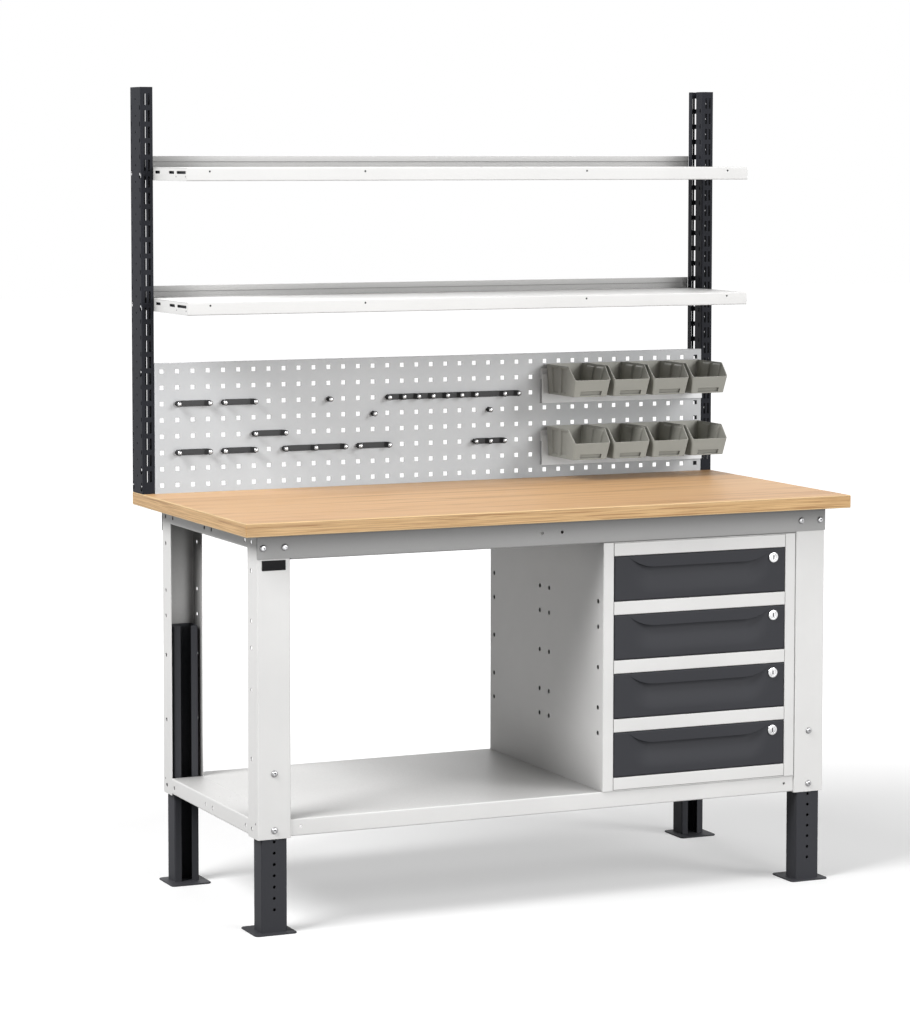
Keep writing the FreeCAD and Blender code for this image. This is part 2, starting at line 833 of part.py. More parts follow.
# Upright: a lipped channel with its web outwards and two columns of slots through its flanges.
def upright(name, side):
    body = new_body(name, f"{side} * upright_outer", "upright_front", "work_height")
    into = -side
    inner = "upright_width - upright_sheet"
    back = "upright_depth - upright_sheet"
    corners = (
        ("0", "0"),
        ("upright_width", "0"),
        ("upright_width", "upright_front_lip"),
        (inner, "upright_front_lip"),
        (inner, "upright_sheet"),
        ("upright_sheet", "upright_sheet"),
        ("upright_sheet", back),
        (inner, back),
        (inner, "upright_depth - upright_back_lip"),
        ("upright_width", "upright_depth - upright_back_lip"),
        ("upright_width", "upright_depth"),
        ("0", "upright_depth"),
    )
    mirrored = [(x if x == "0" else f"{into} * ({x})", y) for x, y in corners]
    pad(body, outline(new_sketch(body, "XY_Plane"), mirrored), "upright_height")
    slots = new_sketch(body, "XZ_Plane")
    low = "upright_height - slot_margin - slot_height / 2"
    high = "upright_height - slot_margin + slot_height / 2"
    for column in (1, 2):
        middle = f"{into} * {column} * slot_column"
        rectangle(slots, f"{middle} - slot_width / 2", low, f"{middle} + slot_width / 2", high)
    cut = pocket(body, slots, "upright_sheet + overrun")
    repeat(body, cut, "V_Axis", "grid_pitch", "slot_count", turned=True)
    keep(body, name)


# Angle brackets that hold the uprights to the worktop, inside their feet.
def upright_brackets():
    brackets = []
    for side in (-1, 1):
        y = "upright_front + upright_depth / 2"
        body = new_body("upright_bracket", f"{side} * upright_outer", y, "work_height", 0 if side < 0 else 180)
        profile = new_sketch(body, "XZ_Plane")
        outline(profile, (
            ("upright_sheet", "0"),
            ("upright_sheet + bracket_foot", "0"),
            ("upright_sheet + bracket_foot", "bracket_sheet"),
            ("upright_sheet + bracket_sheet", "bracket_sheet"),
            ("upright_sheet + bracket_sheet", "bracket_height"),
            ("upright_sheet", "bracket_height"),
        ))
        pad(body, profile, "bracket_length", both=True)
        brackets.append(body)
    group("upright_brackets", brackets)


def tray_surface(share):
    return f"(panel_top + {share} * (upright_top - panel_top))"


# Tool shelf: a folded sheet with a front lip, end plates and a hemmed upstand at the back.
def tool_shelf(name, share):
    body = new_body(name, "0", "top_depth / 2 - tray_depth", tray_surface(share))
    back = "tray_depth - tray_sheet"
    profile = new_sketch(body, "YZ_Plane")
    outline(profile, (
        ("0", "0"),
        ("0", "-tray_lip"),
        ("tray_return", "-tray_lip"),
        ("tray_return", "tray_sheet - tray_lip"),
        ("tray_sheet", "tray_sheet - tray_lip"),
        ("tray_sheet", "-tray_sheet"),
        ("tray_depth", "-tray_sheet"),
        ("tray_depth", "tray_upstand"),
        (f"{back} - tray_sheet", "tray_upstand"),
        (f"{back} - tray_sheet", "tray_hem"),
        (back, "tray_hem"),
        (back, "0"),
    ))
    pad(body, profile, "2 * upright_inner", both=True)
    for side in (-1, 1):
        offset = f"{side} * upright_inner"
        plate = new_sketch(body, "YZ_Plane", offset)
        rectangle(plate, "0", "-tray_lip", "tray_depth", "0")
        pad(body, plate, "tray_sheet", back=side > 0)
    keep(body, name)


# Perforated panel: square holes on the uprights' own pitch, and edges folded back all round.
def perforated_panel():
    body = new_body("perforated_panel", "0", "panel_face", "work_height")
    sheet_outline = new_sketch(body, "XZ_Plane")
    rectangle(sheet_outline, "-upright_inner", "0", "upright_inner", "panel_height")
    pad(body, sheet_outline, "panel_sheet", back=True)
    column = new_sketch(body, "XZ_Plane")
    left = "first_column - grid_hole / 2"
    right = "first_column + grid_hole / 2"
    for row in range(round(worth("panel_rows"))):
        middle = f"first_row - work_height - {row} * grid_pitch"
        rectangle(column, left, f"{middle} - grid_hole / 2", right, f"{middle} + grid_hole / 2")
    cut = pocket(body, column, "panel_sheet + overrun")
    repeat(body, cut, "H_Axis", "grid_pitch", "panel_columns")
    fold = new_sketch(body, "XZ_Plane", "-panel_sheet")
    rectangle(fold, "-upright_inner", "0", "upright_inner", "panel_height")
    side = "upright_inner - panel_sheet"
    rectangle(fold, f"-({side})", "panel_sheet", side, "panel_height - panel_sheet")
    pad(body, fold, "panel_fold - panel_sheet", back=True)
    keep(body, "perforated_panel")


# Rail for the bins: a boxed strip on the panel with an open gutter along its top.
def bin_rail(name, level):
    body = new_body(name, "rail_middle", "panel_face", level)
    front = "-rail_stand"
    inside = "-(rail_stand - rail_sheet)"
    lip = "rail_gutter + rail_hook"
    profile = new_sketch(body, "YZ_Plane")
    outline(profile, (
        ("0", "0"),
        (front, "0"),
        (front, lip),
        (inside, lip),
        (inside, "rail_gutter"),
        ("-rail_sheet", "rail_gutter"),
        ("-rail_sheet", "rail_height"),
        ("0", "rail_height"),
        ("0", "rail_gutter - rail_sheet"),
        (inside, "rail_gutter - rail_sheet"),
        (inside, "rail_sheet"),
        ("0", "rail_sheet"),
    ))
    pad(body, profile, "rail_length", both=True)
    keep(body, name)


# A block with a bin's taper: its sides from the front view, its leaning front from the side.
def bin_block(name, x, y, z, inset, floor):
    body = new_body(name, x, y, z)
    base = "bin_base_width / 2"
    flare = f"(bin_width / 2 - {base}) / bin_height"
    low_half = f"{base} + {flare} * {floor} - {inset}"
    high_half = f"{base} + {flare} * bin_height - {inset}"
    rim_depth = "bin_base_depth + bin_slope * bin_height"
    ends = new_sketch(body, "XZ_Plane", inset)
    corners = ((low_half, floor), (high_half, "bin_height"))
    outline(ends, tuple((f"-({x})", z) for x, z in corners) + corners[::-1])
    pad(body, ends, rim_depth)
    lean = new_sketch(body, "YZ_Plane")
    outline(lean, (
        (f"{inset} - bin_base_depth - bin_slope * {floor}", floor),
        (f"{inset} - ({rim_depth})", "bin_height"),
        (f"-({rim_depth}) - overrun", "bin_height"),
        (f"-({rim_depth}) - overrun", floor),
    ))
    pocket(body, lean, "bin_width + overrun", both=True)
    return body


# Bin: tapered walls, a low leaning front, a label recess, and a hook over the rail's lip.
def storage_bin(name, level, index):
    x = f"rail_middle + ({index} - 1.5) * bin_pitch"
    y = "rail_face - bin_hook_gap"
    z = f"{level} + bin_rise"
    body = bin_block(name + "_block", x, y, z, "0", "0")
    mouth = "-(bin_base_depth + bin_slope * bin_front)"
    far = "-(bin_base_depth + bin_slope * bin_height) - overrun"
    side = new_sketch(body, "YZ_Plane")
    outline(side, (
        (f"{mouth} + bin_mouth", "bin_height"),
        (mouth, "bin_front"),
        (far, "bin_front"),
        (far, "bin_height + overrun"),
        (f"{mouth} + bin_mouth", "bin_height + overrun"),
    ))
    pocket(body, side, "bin_width + overrun", both=True)
    low = "label_rise"
    high = "(label_rise + label_height)"
    recess = new_sketch(body, "YZ_Plane")
    outline(recess, (
        (f"label_recess - bin_base_depth - bin_slope * {low}", low),
        (f"label_recess - bin_base_depth - bin_slope * {high}", high),
        (far, high),
        (far, low),
    ))
    pocket(body, recess, "label_width", both=True)
    lip = "bin_hook_gap + rail_sheet + bin_hook_gap"
    hook = new_sketch(body, "YZ_Plane")
    outline(hook, (
        ("-bin_wall / 2", "bin_catch"),
        (lip, "bin_catch"),
        (lip, "bin_catch - bin_hook_drop"),
        (f"{lip} + bin_wall", "bin_catch - bin_hook_drop"),
        (f"{lip} + bin_wall", "bin_catch + bin_wall"),
        ("-bin_wall / 2", "bin_catch + bin_wall"),
    ))
    pad(body, hook, "bin_hook_width", both=True)
    whole = doc.addObject("Part::Cut", name)
    whole.Base = body
    whole.Tool = bin_block(name + "_hollow", x, y, z, "bin_wall", "bin_wall")
    keep(whole, name)


# The place of a hole of the panel's grid, from a share of its length and its row.
def column_place(share):
    return f"(first_column + floor({share} * panel_columns) * grid_pitch)"


def row_place(row):
    return f"(first_row - {row} * grid_pitch)"


# A six-sided knob on the end of a clip's arm or of a stem.
def knob(x, z):
    piece = doc.addObject("Part::Prism", "clip_knob")
    piece.Polygon = 6
    piece.setExpression("Circumradius", bound("knob_radius"))
    piece.setExpression("Height", bound("knob_length"))
    return lay(piece, x, "panel_face - clip_reach", z, 90)


# Spring clip: one strap along the panel whose two arms reach forward to the knobs.
def strap(x, z, half):
    body = new_body("clip_strap", x, "panel_face", f"{z} - clip_height / 2")
    tip = f"({half} - clip_split)"
    base = f"({half} - clip_flare)"
    right = (
        (base, "0"),
        (tip, "-clip_flare"),
        (tip, "-clip_reach"),
        (f"{tip} - clip_strap", "-clip_reach"),
        (f"{tip} - clip_strap", "-clip_flare - clip_strap / 2"),
        (f"{base} - clip_strap / 2", "-clip_strap"),
    )
    corners = right + tuple((f"-({x})", y) for x, y in reversed(right))
    pad(body, outline(new_sketch(body, "XY_Plane"), corners), "clip_height")
    return body


def tool_clips():
    straps = []
    ends = {}
    for row, start, end in clip_shares:
        left = column_place(start)
        right = column_place(end)
        straps.append(strap(f"({left} + {right}) / 2", row_place(row), f"(({right} - {left}) / 2)"))
        ends[(row, start)] = (left, row_place(row))
        ends[(row, end)] = (right, row_place(row))
    for row, share in stem_shares:
        stem = doc.addObject("Part::Prism", "clip_stem")
        stem.Polygon = 6
        stem.setExpression("Circumradius", bound("stem_radius"))
        stem.setExpression("Height", bound("clip_reach + panel_sheet"))
        straps.append(lay(stem, column_place(share), "panel_face + panel_sheet", row_place(row), 90))
        ends[(row, share)] = (column_place(share), row_place(row))
    group("tool_clips", straps)
    group("clip_knobs", [knob(x, z) for x, z in ends.values()])


corner_names = (
    ("front_left", -1, True),
    ("front_right", 1, True),
    ("back_left", -1, False),
    ("back_right", 1, False),
)

worktop()
for corner, side, front in corner_names:
    outer_leg("outer_leg_" + corner, side, front)
    inner_leg("inner_leg_" + corner, side, front)
frame_bolts()
beam("front_beam", True)
beam("back_beam", False)
for hand, side in (("left", -1), ("right", 1)):
    top_side_rail("top_side_rail_" + hand, side)
    low_side_rail("low_side_rail_" + hand, side)
    upright("upright_" + hand, side)
low_shelf()
blank_plate()
cabinet_shell()
cabinet_plates()
cabinet_rails()
fixed = [
    runner_member("fixed_runner", level, side, fixed_corners())
    for level in range(4)
    for side in (-1, 1)
]
group("fixed_runners", fixed)
for level in range(4):
    number = 4 - level
    middle = [runner_member("middle_runner", level, side, middle_corners()) for side in (-1, 1)]
    group(f"middle_runners_{number}", middle)
    drawer_box(f"drawer_box_{number}", level)
    drawer_front(f"drawer_front_{number}", level)
    lock(f"lock_{number}", level)
upright_brackets()
for height, share in tray_height_shares.items():
    tool_shelf(f"tool_shelf_{height}", share)
perforated_panel()
for height, level in (("high", "high_rail"), ("low", "low_rail")):
    bin_rail("bin_rail_" + height, level)
    for index in range(4):
        storage_bin(f"bin_{height}_{index + 1}", level, index)
tool_clips()

doc.recompute()
for item in doc.Objects:
    if "Invalid" in item.State or "Error" in item.State:
        raise RuntimeError(f"{item.Label} failed: {item.State}")
for piece in nodes:
    if piece.Shape.isNull() or not piece.Shape.isValid():
        raise RuntimeError(f"{piece.Label} has no valid shape")
    piece.Shape.exportStep(f"parts/{piece.Label}.step")
print(len(nodes), "pieces written")
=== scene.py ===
from math import cos, pi, radians, sin

import bmesh
import bpy
import numpy as np
from mathutils import Matrix, Vector


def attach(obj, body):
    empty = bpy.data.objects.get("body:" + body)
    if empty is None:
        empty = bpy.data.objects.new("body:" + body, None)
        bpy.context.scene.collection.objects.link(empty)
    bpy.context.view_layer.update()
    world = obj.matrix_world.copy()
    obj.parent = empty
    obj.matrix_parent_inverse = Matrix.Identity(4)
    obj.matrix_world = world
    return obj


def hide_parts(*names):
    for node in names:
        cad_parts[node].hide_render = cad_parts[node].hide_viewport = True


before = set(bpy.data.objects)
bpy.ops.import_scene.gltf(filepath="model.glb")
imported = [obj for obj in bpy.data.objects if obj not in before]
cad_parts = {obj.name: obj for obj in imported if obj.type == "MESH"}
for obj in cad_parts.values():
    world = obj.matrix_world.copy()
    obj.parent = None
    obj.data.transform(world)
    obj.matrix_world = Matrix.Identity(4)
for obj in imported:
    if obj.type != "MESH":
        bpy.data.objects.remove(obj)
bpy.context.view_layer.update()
print("frame loaded:", len(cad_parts), "nodes")

millimetre = 0.001  # every shape below is worked out in millimetres
toRight, toBack, toTop = (1, 0, 0), (0, 1, 0), (0, 0, 1)


# Adds a node. A value goes to the node's own property of that name, or else to its input.
def addNode(tree, kind, **values):
    node = tree.nodes.new(kind)
    for key, value in values.items():
        if hasattr(node, key):
            setattr(node, key, value)
        else:
            node.inputs[key.replace("_", " ")].default_value = value
    return node


# A node group with inputs (name, kind, value) and outputs (name, kind).
def newGroup(name, inputs, outputs):
    tree = bpy.data.node_groups.new(name, "ShaderNodeTree")
    for label, kind, value in inputs:
        socket = tree.interface.new_socket(name=label, in_out="INPUT", socket_type=kind)
        socket.default_value = value
    for label, kind in outputs:
        tree.interface.new_socket(name=label, in_out="OUTPUT", socket_type=kind)
    return tree, tree.nodes.new("NodeGroupInput"), tree.nodes.new("NodeGroupOutput")


# Places a node group with its own values.
def placeGroup(tree, group, **values):
    node = addNode(tree, "ShaderNodeGroup", node_tree=group)
    for key, value in values.items():
        node.inputs[key].default_value = value
    return node


# Object coordinates times a scale.
def mapped(tree, scale=(1, 1, 1)):
    place = addNode(tree, "ShaderNodeTexCoord")
    turn = addNode(tree, "ShaderNodeMapping")
    turn.inputs["Scale"].default_value = scale
    tree.links.new(place.outputs["Object"], turn.inputs["Vector"])
    return turn.outputs["Vector"]


# The x, y and z of a vector.
def parted(tree, vector):
    split = addNode(tree, "ShaderNodeSeparateXYZ")
    tree.links.new(vector, split.inputs[0])
    return split.outputs


# One step of arithmetic, operation(first, second). A number is set and a socket is linked.
def reckon(tree, operation, first, second=None, clamp=False):
    node = addNode(tree, "ShaderNodeMath", operation=operation, use_clamp=clamp)
    for socket, value in zip(node.inputs, (first, second)):
        if value is None:
            continue
        if isinstance(value, (int, float)):
            socket.default_value = value
        else:
            tree.links.new(value, socket)
    return node.outputs[0]


# first * second
def times(tree, first, second, clamp=False):
    return reckon(tree, "MULTIPLY", first, second, clamp)


# first + second
def plus(tree, first, second, clamp=False):
    return reckon(tree, "ADD", first, second, clamp)


# Noise between 0 and 1 over the given coordinates.
def noise(tree, vector, scale, detail=3.0, rough=0.5, distortion=0.0):
    node = addNode(tree, "ShaderNodeTexNoise", Scale=scale, Detail=detail, Roughness=rough,
                   Distortion=distortion)
    tree.links.new(vector, node.inputs["Vector"])
    return node.outputs["Fac"]


# toLow + (toHigh - toLow) * (value - low) / (high - low), held between the two ends
def remap(tree, value, low, high, toLow=0.0, toHigh=1.0):
    node = addNode(tree, "ShaderNodeMapRange", From_Min=low, From_Max=high, To_Min=toLow, To_Max=toHigh)
    tree.links.new(value, node.inputs["Value"])
    return node.outputs["Result"]


# first * (1 - factor) + second * factor
def mixColour(tree, factor, first, second):
    node = addNode(tree, "ShaderNodeMix", data_type="RGBA")
    for socket, value in zip((node.inputs[0], node.inputs[6], node.inputs[7]), (factor, first, second)):
        if isinstance(value, (int, float, tuple)):
            socket.default_value = value
        else:
            tree.links.new(value, socket)
    return node.outputs[2]


# colour * share, no part of it above 1, and opaque
def shaded(colour, share=1.0):
    return tuple(min(1.0, part * share) for part in colour) + (1.0,)


wearLook = {"samples": 6, "flat": 0.985, "sharp": 0.80, "patch": 60.0, "whole": 0.40, "bare": 0.62}
skinLook = {"cloud": 3.5, "fleck": 420.0, "fleckLow": 0.66, "fleckHigh": 0.74}
dustLook = {"steep": 0.5, "level": 1.0, "patch": 9.0, "clean": 0.35, "full": 0.75}
creviceLook = {"samples": 12, "open": 0.95, "closed": 0.30}


# Worn edges: the true normal times one rounded over the nearest edges drops below 1 only near an edge, and
# the mask is that drop times a patchy noise.
def makeEdgeWear(look):
    tree, given, out = newGroup(
        "edge wear",
        [("Width", "NodeSocketFloat", 0.001), ("Strength", "NodeSocketFloat", 1.0)],
        [("Mask", "NodeSocketFloat"), ("Normal", "NodeSocketVector")],
    )
    bevel = addNode(tree, "ShaderNodeBevel", samples=look["samples"])
    tree.links.new(given.outputs["Width"], bevel.inputs["Radius"])
    shape = addNode(tree, "ShaderNodeNewGeometry")
    dot = addNode(tree, "ShaderNodeVectorMath", operation="DOT_PRODUCT")
    tree.links.new(bevel.outputs["Normal"], dot.inputs[0])
    tree.links.new(shape.outputs["Normal"], dot.inputs[1])
    edge = remap(tree, dot.outputs["Value"], look["flat"], look["sharp"])
    patchy = remap(tree, noise(tree, mapped(tree), look["patch"], 4.0, 0.7), look["whole"], look["bare"])
    worn = times(tree, times(tree, edge, patchy), given.outputs["Strength"], True)
    tree.links.new(worn, out.inputs["Mask"])
    tree.links.new(bevel.outputs["Normal"], out.inputs["Normal"])
    return tree


# Baked powder paint: the noise of its fine pimples, a broad cloudiness of tone, and sparse flecks.
def makePowderSkin(look):
    tree, given, out = newGroup(
        "powder skin",
        [("Grain", "NodeSocketFloat", 900.0)],
        [("Height", "NodeSocketFloat"), ("Cloud", "NodeSocketFloat"), ("Fleck", "NodeSocketFloat")],
    )
    plain = mapped(tree)
    pimple = addNode(tree, "ShaderNodeTexNoise", Detail=2.0, Roughness=0.6)
    tree.links.new(plain, pimple.inputs["Vector"])
    tree.links.new(given.outputs["Grain"], pimple.inputs["Scale"])
    flecks = remap(tree, noise(tree, plain, look["fleck"], 1.0), look["fleckLow"], look["fleckHigh"])
    tree.links.new(pimple.outputs["Fac"], out.inputs["Height"])
    tree.links.new(noise(tree, plain, look["cloud"], 4.0, 0.55), out.inputs["Cloud"])
    tree.links.new(flecks, out.inputs["Fleck"])
    return tree


# A thin settling of dust: how far the normal points up, times a patchy noise, times the amount.
def makeDust(look):
    tree, given, out = newGroup(
        "dust",
        [("Amount", "NodeSocketFloat", 0.1)],
        [("Mask", "NodeSocketFloat"), ("Up", "NodeSocketFloat")],
    )
    shape = addNode(tree, "ShaderNodeNewGeometry")
    height = parted(tree, shape.outputs["Normal"])["Z"]
    level = remap(tree, height, look["steep"], look["level"])
    patchy = remap(tree, noise(tree, mapped(tree), look["patch"], 6.0, 0.65), look["clean"], look["full"])
    lying = times(tree, times(tree, level, patchy), given.outputs["Amount"], True)
    tree.links.new(lying, out.inputs["Mask"])
    tree.links.new(level, out.inputs["Up"])
    return tree


# How closed in a place is: the share of a small half ball over the surface that meets something near. It tells
# where shade is painted into a colour.
def makeCrevice(look):
    tree, given, out = newGroup(
        "crevice",
        [("Reach", "NodeSocketFloat", 0.15)],
        [("Closed", "NodeSocketFloat")],
    )
    hollow = addNode(tree, "ShaderNodeAmbientOcclusion", samples=look["samples"])
    tree.links.new(given.outputs["Reach"], hollow.inputs["Distance"])
    tree.links.new(remap(tree, hollow.outputs["AO"], look["open"], look["closed"]), out.inputs["Closed"])
    return tree


edgeWear = makeEdgeWear(wearLook)
powderSkin = makePowderSkin(skinLook)
dust = makeDust(dustLook)
crevice = makeCrevice(creviceLook)


# A new material with its tree and its Principled shader.
def newMaterial(name):
    material = bpy.data.materials.new(name)
    material.use_nodes = True
    tree = material.node_tree
    return material, tree, tree.nodes["Principled BSDF"]


# Two shades of a colour, colour * low and colour * high, mixed by a cloudy noise.
def twoTones(tree, cloud, colour, low, high):
    return mixColour(tree, remap(tree, cloud, 0.3, 0.7), shaded(colour, low), shaded(colour, high))


# Painted shade: mixes in colour * deep where the surface is closed in, and with topOnly just where it looks up.
def addPaintedShade(tree, base, colour, reach, shade, deep, topOnly=False):
    closed = times(tree, placeGroup(tree, crevice, Reach=reach).outputs["Closed"], shade)
    if topOnly:
        closed = times(tree, closed, placeGroup(tree, dust, Amount=1.0).outputs["Up"])
    return mixColour(tree, closed, base, shaded(colour, deep))


# Bump of strength * distance * height over the rounded normal.
def bumpInto(tree, shader, height, strength, distance, normal):
    bump = addNode(tree, "ShaderNodeBump", Strength=strength, Distance=distance)
    tree.links.new(height, bump.inputs["Height"])
    tree.links.new(normal, bump.inputs["Normal"])
    tree.links.new(bump.outputs["Normal"], shader.inputs["Normal"])


paintLook = {"grain": 900.0, "relief": 0.12, "height": 0.0002, "edge": 0.0008, "fleck": 0.06,
             "dust": (0.55, 0.53, 0.50), "dustRough": 0.3, "smoother": 0.05, "rougher": 0.06, "deep": 0.18}


# Powder paint: two cloudy tones, flecks and bare edges in the worn colour, dust on top, and painted shade in the
# corners.
def paintMaterial(name, colour, roughness, tone=0.04, worn=(0.45, 0.45, 0.45), wear=0.25, lying=0.05,
                  gloss=0.5, shade=0.0, reach=0.15, topOnly=False):
    look = paintLook
    material, tree, shader = newMaterial(name)
    shader.inputs["Specular IOR Level"].default_value = gloss
    skin = placeGroup(tree, powderSkin, Grain=look["grain"])
    edge = placeGroup(tree, edgeWear, Width=look["edge"], Strength=wear)
    settled = placeGroup(tree, dust, Amount=lying).outputs["Mask"]
    cloud = skin.outputs["Cloud"]
    base = twoTones(tree, cloud, colour, 1 - tone, 1 + tone)
    base = mixColour(tree, times(tree, skin.outputs["Fleck"], look["fleck"]), base, shaded(worn))
    base = mixColour(tree, edge.outputs["Mask"], base, shaded(worn))
    base = mixColour(tree, settled, base, shaded(look["dust"]))
    if shade:
        base = addPaintedShade(tree, base, colour, reach, shade, look["deep"], topOnly)
    tree.links.new(base, shader.inputs["Base Color"])
    rough = remap(tree, cloud, 0.2, 0.8, roughness - look["smoother"], roughness + look["rougher"])
    rough = plus(tree, rough, times(tree, settled, look["dustRough"]), True)
    tree.links.new(rough, shader.inputs["Roughness"])
    bumpInto(tree, shader, skin.outputs["Height"], look["relief"], look["height"], edge.outputs["Normal"])
    return material


metalLook = {"streak": 260.0, "cloud": 30.0, "edge": 0.0005, "wear": 0.2, "low": 0.82, "worn": (0.9, 0.9, 0.9),
             "reach": 0.03, "shade": 0.9, "deep": 0.1, "spread": 0.08, "relief": 0.08, "height": 0.0001}


# Plated metal: brushed streaks in its roughness and bump, a cloudy tone, pale edges, and painted shade in the
# corners.
def metalMaterial(name, colour, roughness, brushed=(1, 1, 1)):
    look = metalLook
    material, tree, shader = newMaterial(name)
    shader.inputs["Metallic"].default_value = 1.0
    streaks = noise(tree, mapped(tree, brushed), look["streak"], 5.0, 0.6)
    cloud = noise(tree, mapped(tree), look["cloud"], 4.0, 0.6)
    edge = placeGroup(tree, edgeWear, Width=look["edge"], Strength=look["wear"])
    base = twoTones(tree, cloud, colour, look["low"], 1.0)
    base = mixColour(tree, edge.outputs["Mask"], base, shaded(look["worn"]))
    base = addPaintedShade(tree, base, colour, look["reach"], look["shade"], look["deep"])
    tree.links.new(base, shader.inputs["Base Color"])
    rough = remap(tree, streaks, 0.25, 0.75, roughness - look["spread"], roughness + look["spread"])
    tree.links.new(rough, shader.inputs["Roughness"])
    bumpInto(tree, shader, streaks, look["relief"], look["height"], edge.outputs["Normal"])
    return material


plasticLook = {"grain": 1400.0, "cloud": 14.0, "tone": 0.05, "edge": 0.0009, "lying": 0.06,
               "dust": (0.5, 0.48, 0.45), "reach": 0.012, "deep": 0.25, "spread": 0.06, "height": 0.0002}


# Moulded plastic: a fine grain in its roughness and bump, a cloudy tone, pale edges, some dust, and painted
# shade in its crevices where shade is given.
def plasticMaterial(name, colour, roughness, relief=0.10, wear=0.15, worn=(0.5, 0.48, 0.44),
                    gloss=0.5, shade=0.0):
    look = plasticLook
    material, tree, shader = newMaterial(name)
    shader.inputs["Specular IOR Level"].default_value = gloss
    plain = mapped(tree)
    fine = noise(tree, plain, look["grain"], 2.0, 0.6)
    cloud = noise(tree, plain, look["cloud"], 5.0, 0.6)
    edge = placeGroup(tree, edgeWear, Width=look["edge"], Strength=wear)
    settled = placeGroup(tree, dust, Amount=look["lying"])
    base = twoTones(tree, cloud, colour, 1 - look["tone"], 1 + look["tone"])
    base = mixColour(tree, edge.outputs["Mask"], base, shaded(worn))
    base = mixColour(tree, settled.outputs["Mask"], base, shaded(look["dust"]))
    if shade:
        base = addPaintedShade(tree, base, colour, look["reach"], shade, look["deep"])
    tree.links.new(base, shader.inputs["Base Color"])
    rough = remap(tree, fine, 0.3, 0.7, roughness - look["spread"], roughness + look["spread"])
    tree.links.new(rough, shader.inputs["Roughness"])
    bumpInto(tree, shader, fine, relief, look["height"], edge.outputs["Normal"])
    return material


beechLook = {
    "pale": (0.740, 0.455, 0.225, 1.0),
    "warm": (0.650, 0.375, 0.170, 1.0),
    "streak": (0.440, 0.230, 0.095, 1.0),
    "edgePale": (0.700, 0.450, 0.205, 1.0),
    "edgeDeep": (0.350, 0.175, 0.055, 1.0),
    "lipColour": (0.92, 0.70, 0.40, 1.0),
    "lineColour": (0.36, 0.20, 0.08, 1.0),
    "bounce": (0.36, 0.33, 0.30, 1.0),
    "stave": 46.0,                     # width of a stave in millimetres
    "shift": 9.0,                      # how far the grain is moved from stave to stave, in metres
    "grain": (0.7, 15.0, 15.0),
    "pores": (5.0, 260.0, 260.0),
    "edgeGrain": (1.4, 110.0),         # along the edge and up it
    "top": 0.908, "lip": 0.0024, "line": 0.0033,
    "under": 0.878, "foot": 0.0022,
    "level": 0.97,
    "roughness": 0.42, "smoother": 0.06, "rougher": 0.10,
    "arris": 0.0015, "wear": 0.35, "relief": 0.10, "height": 0.0003,
}


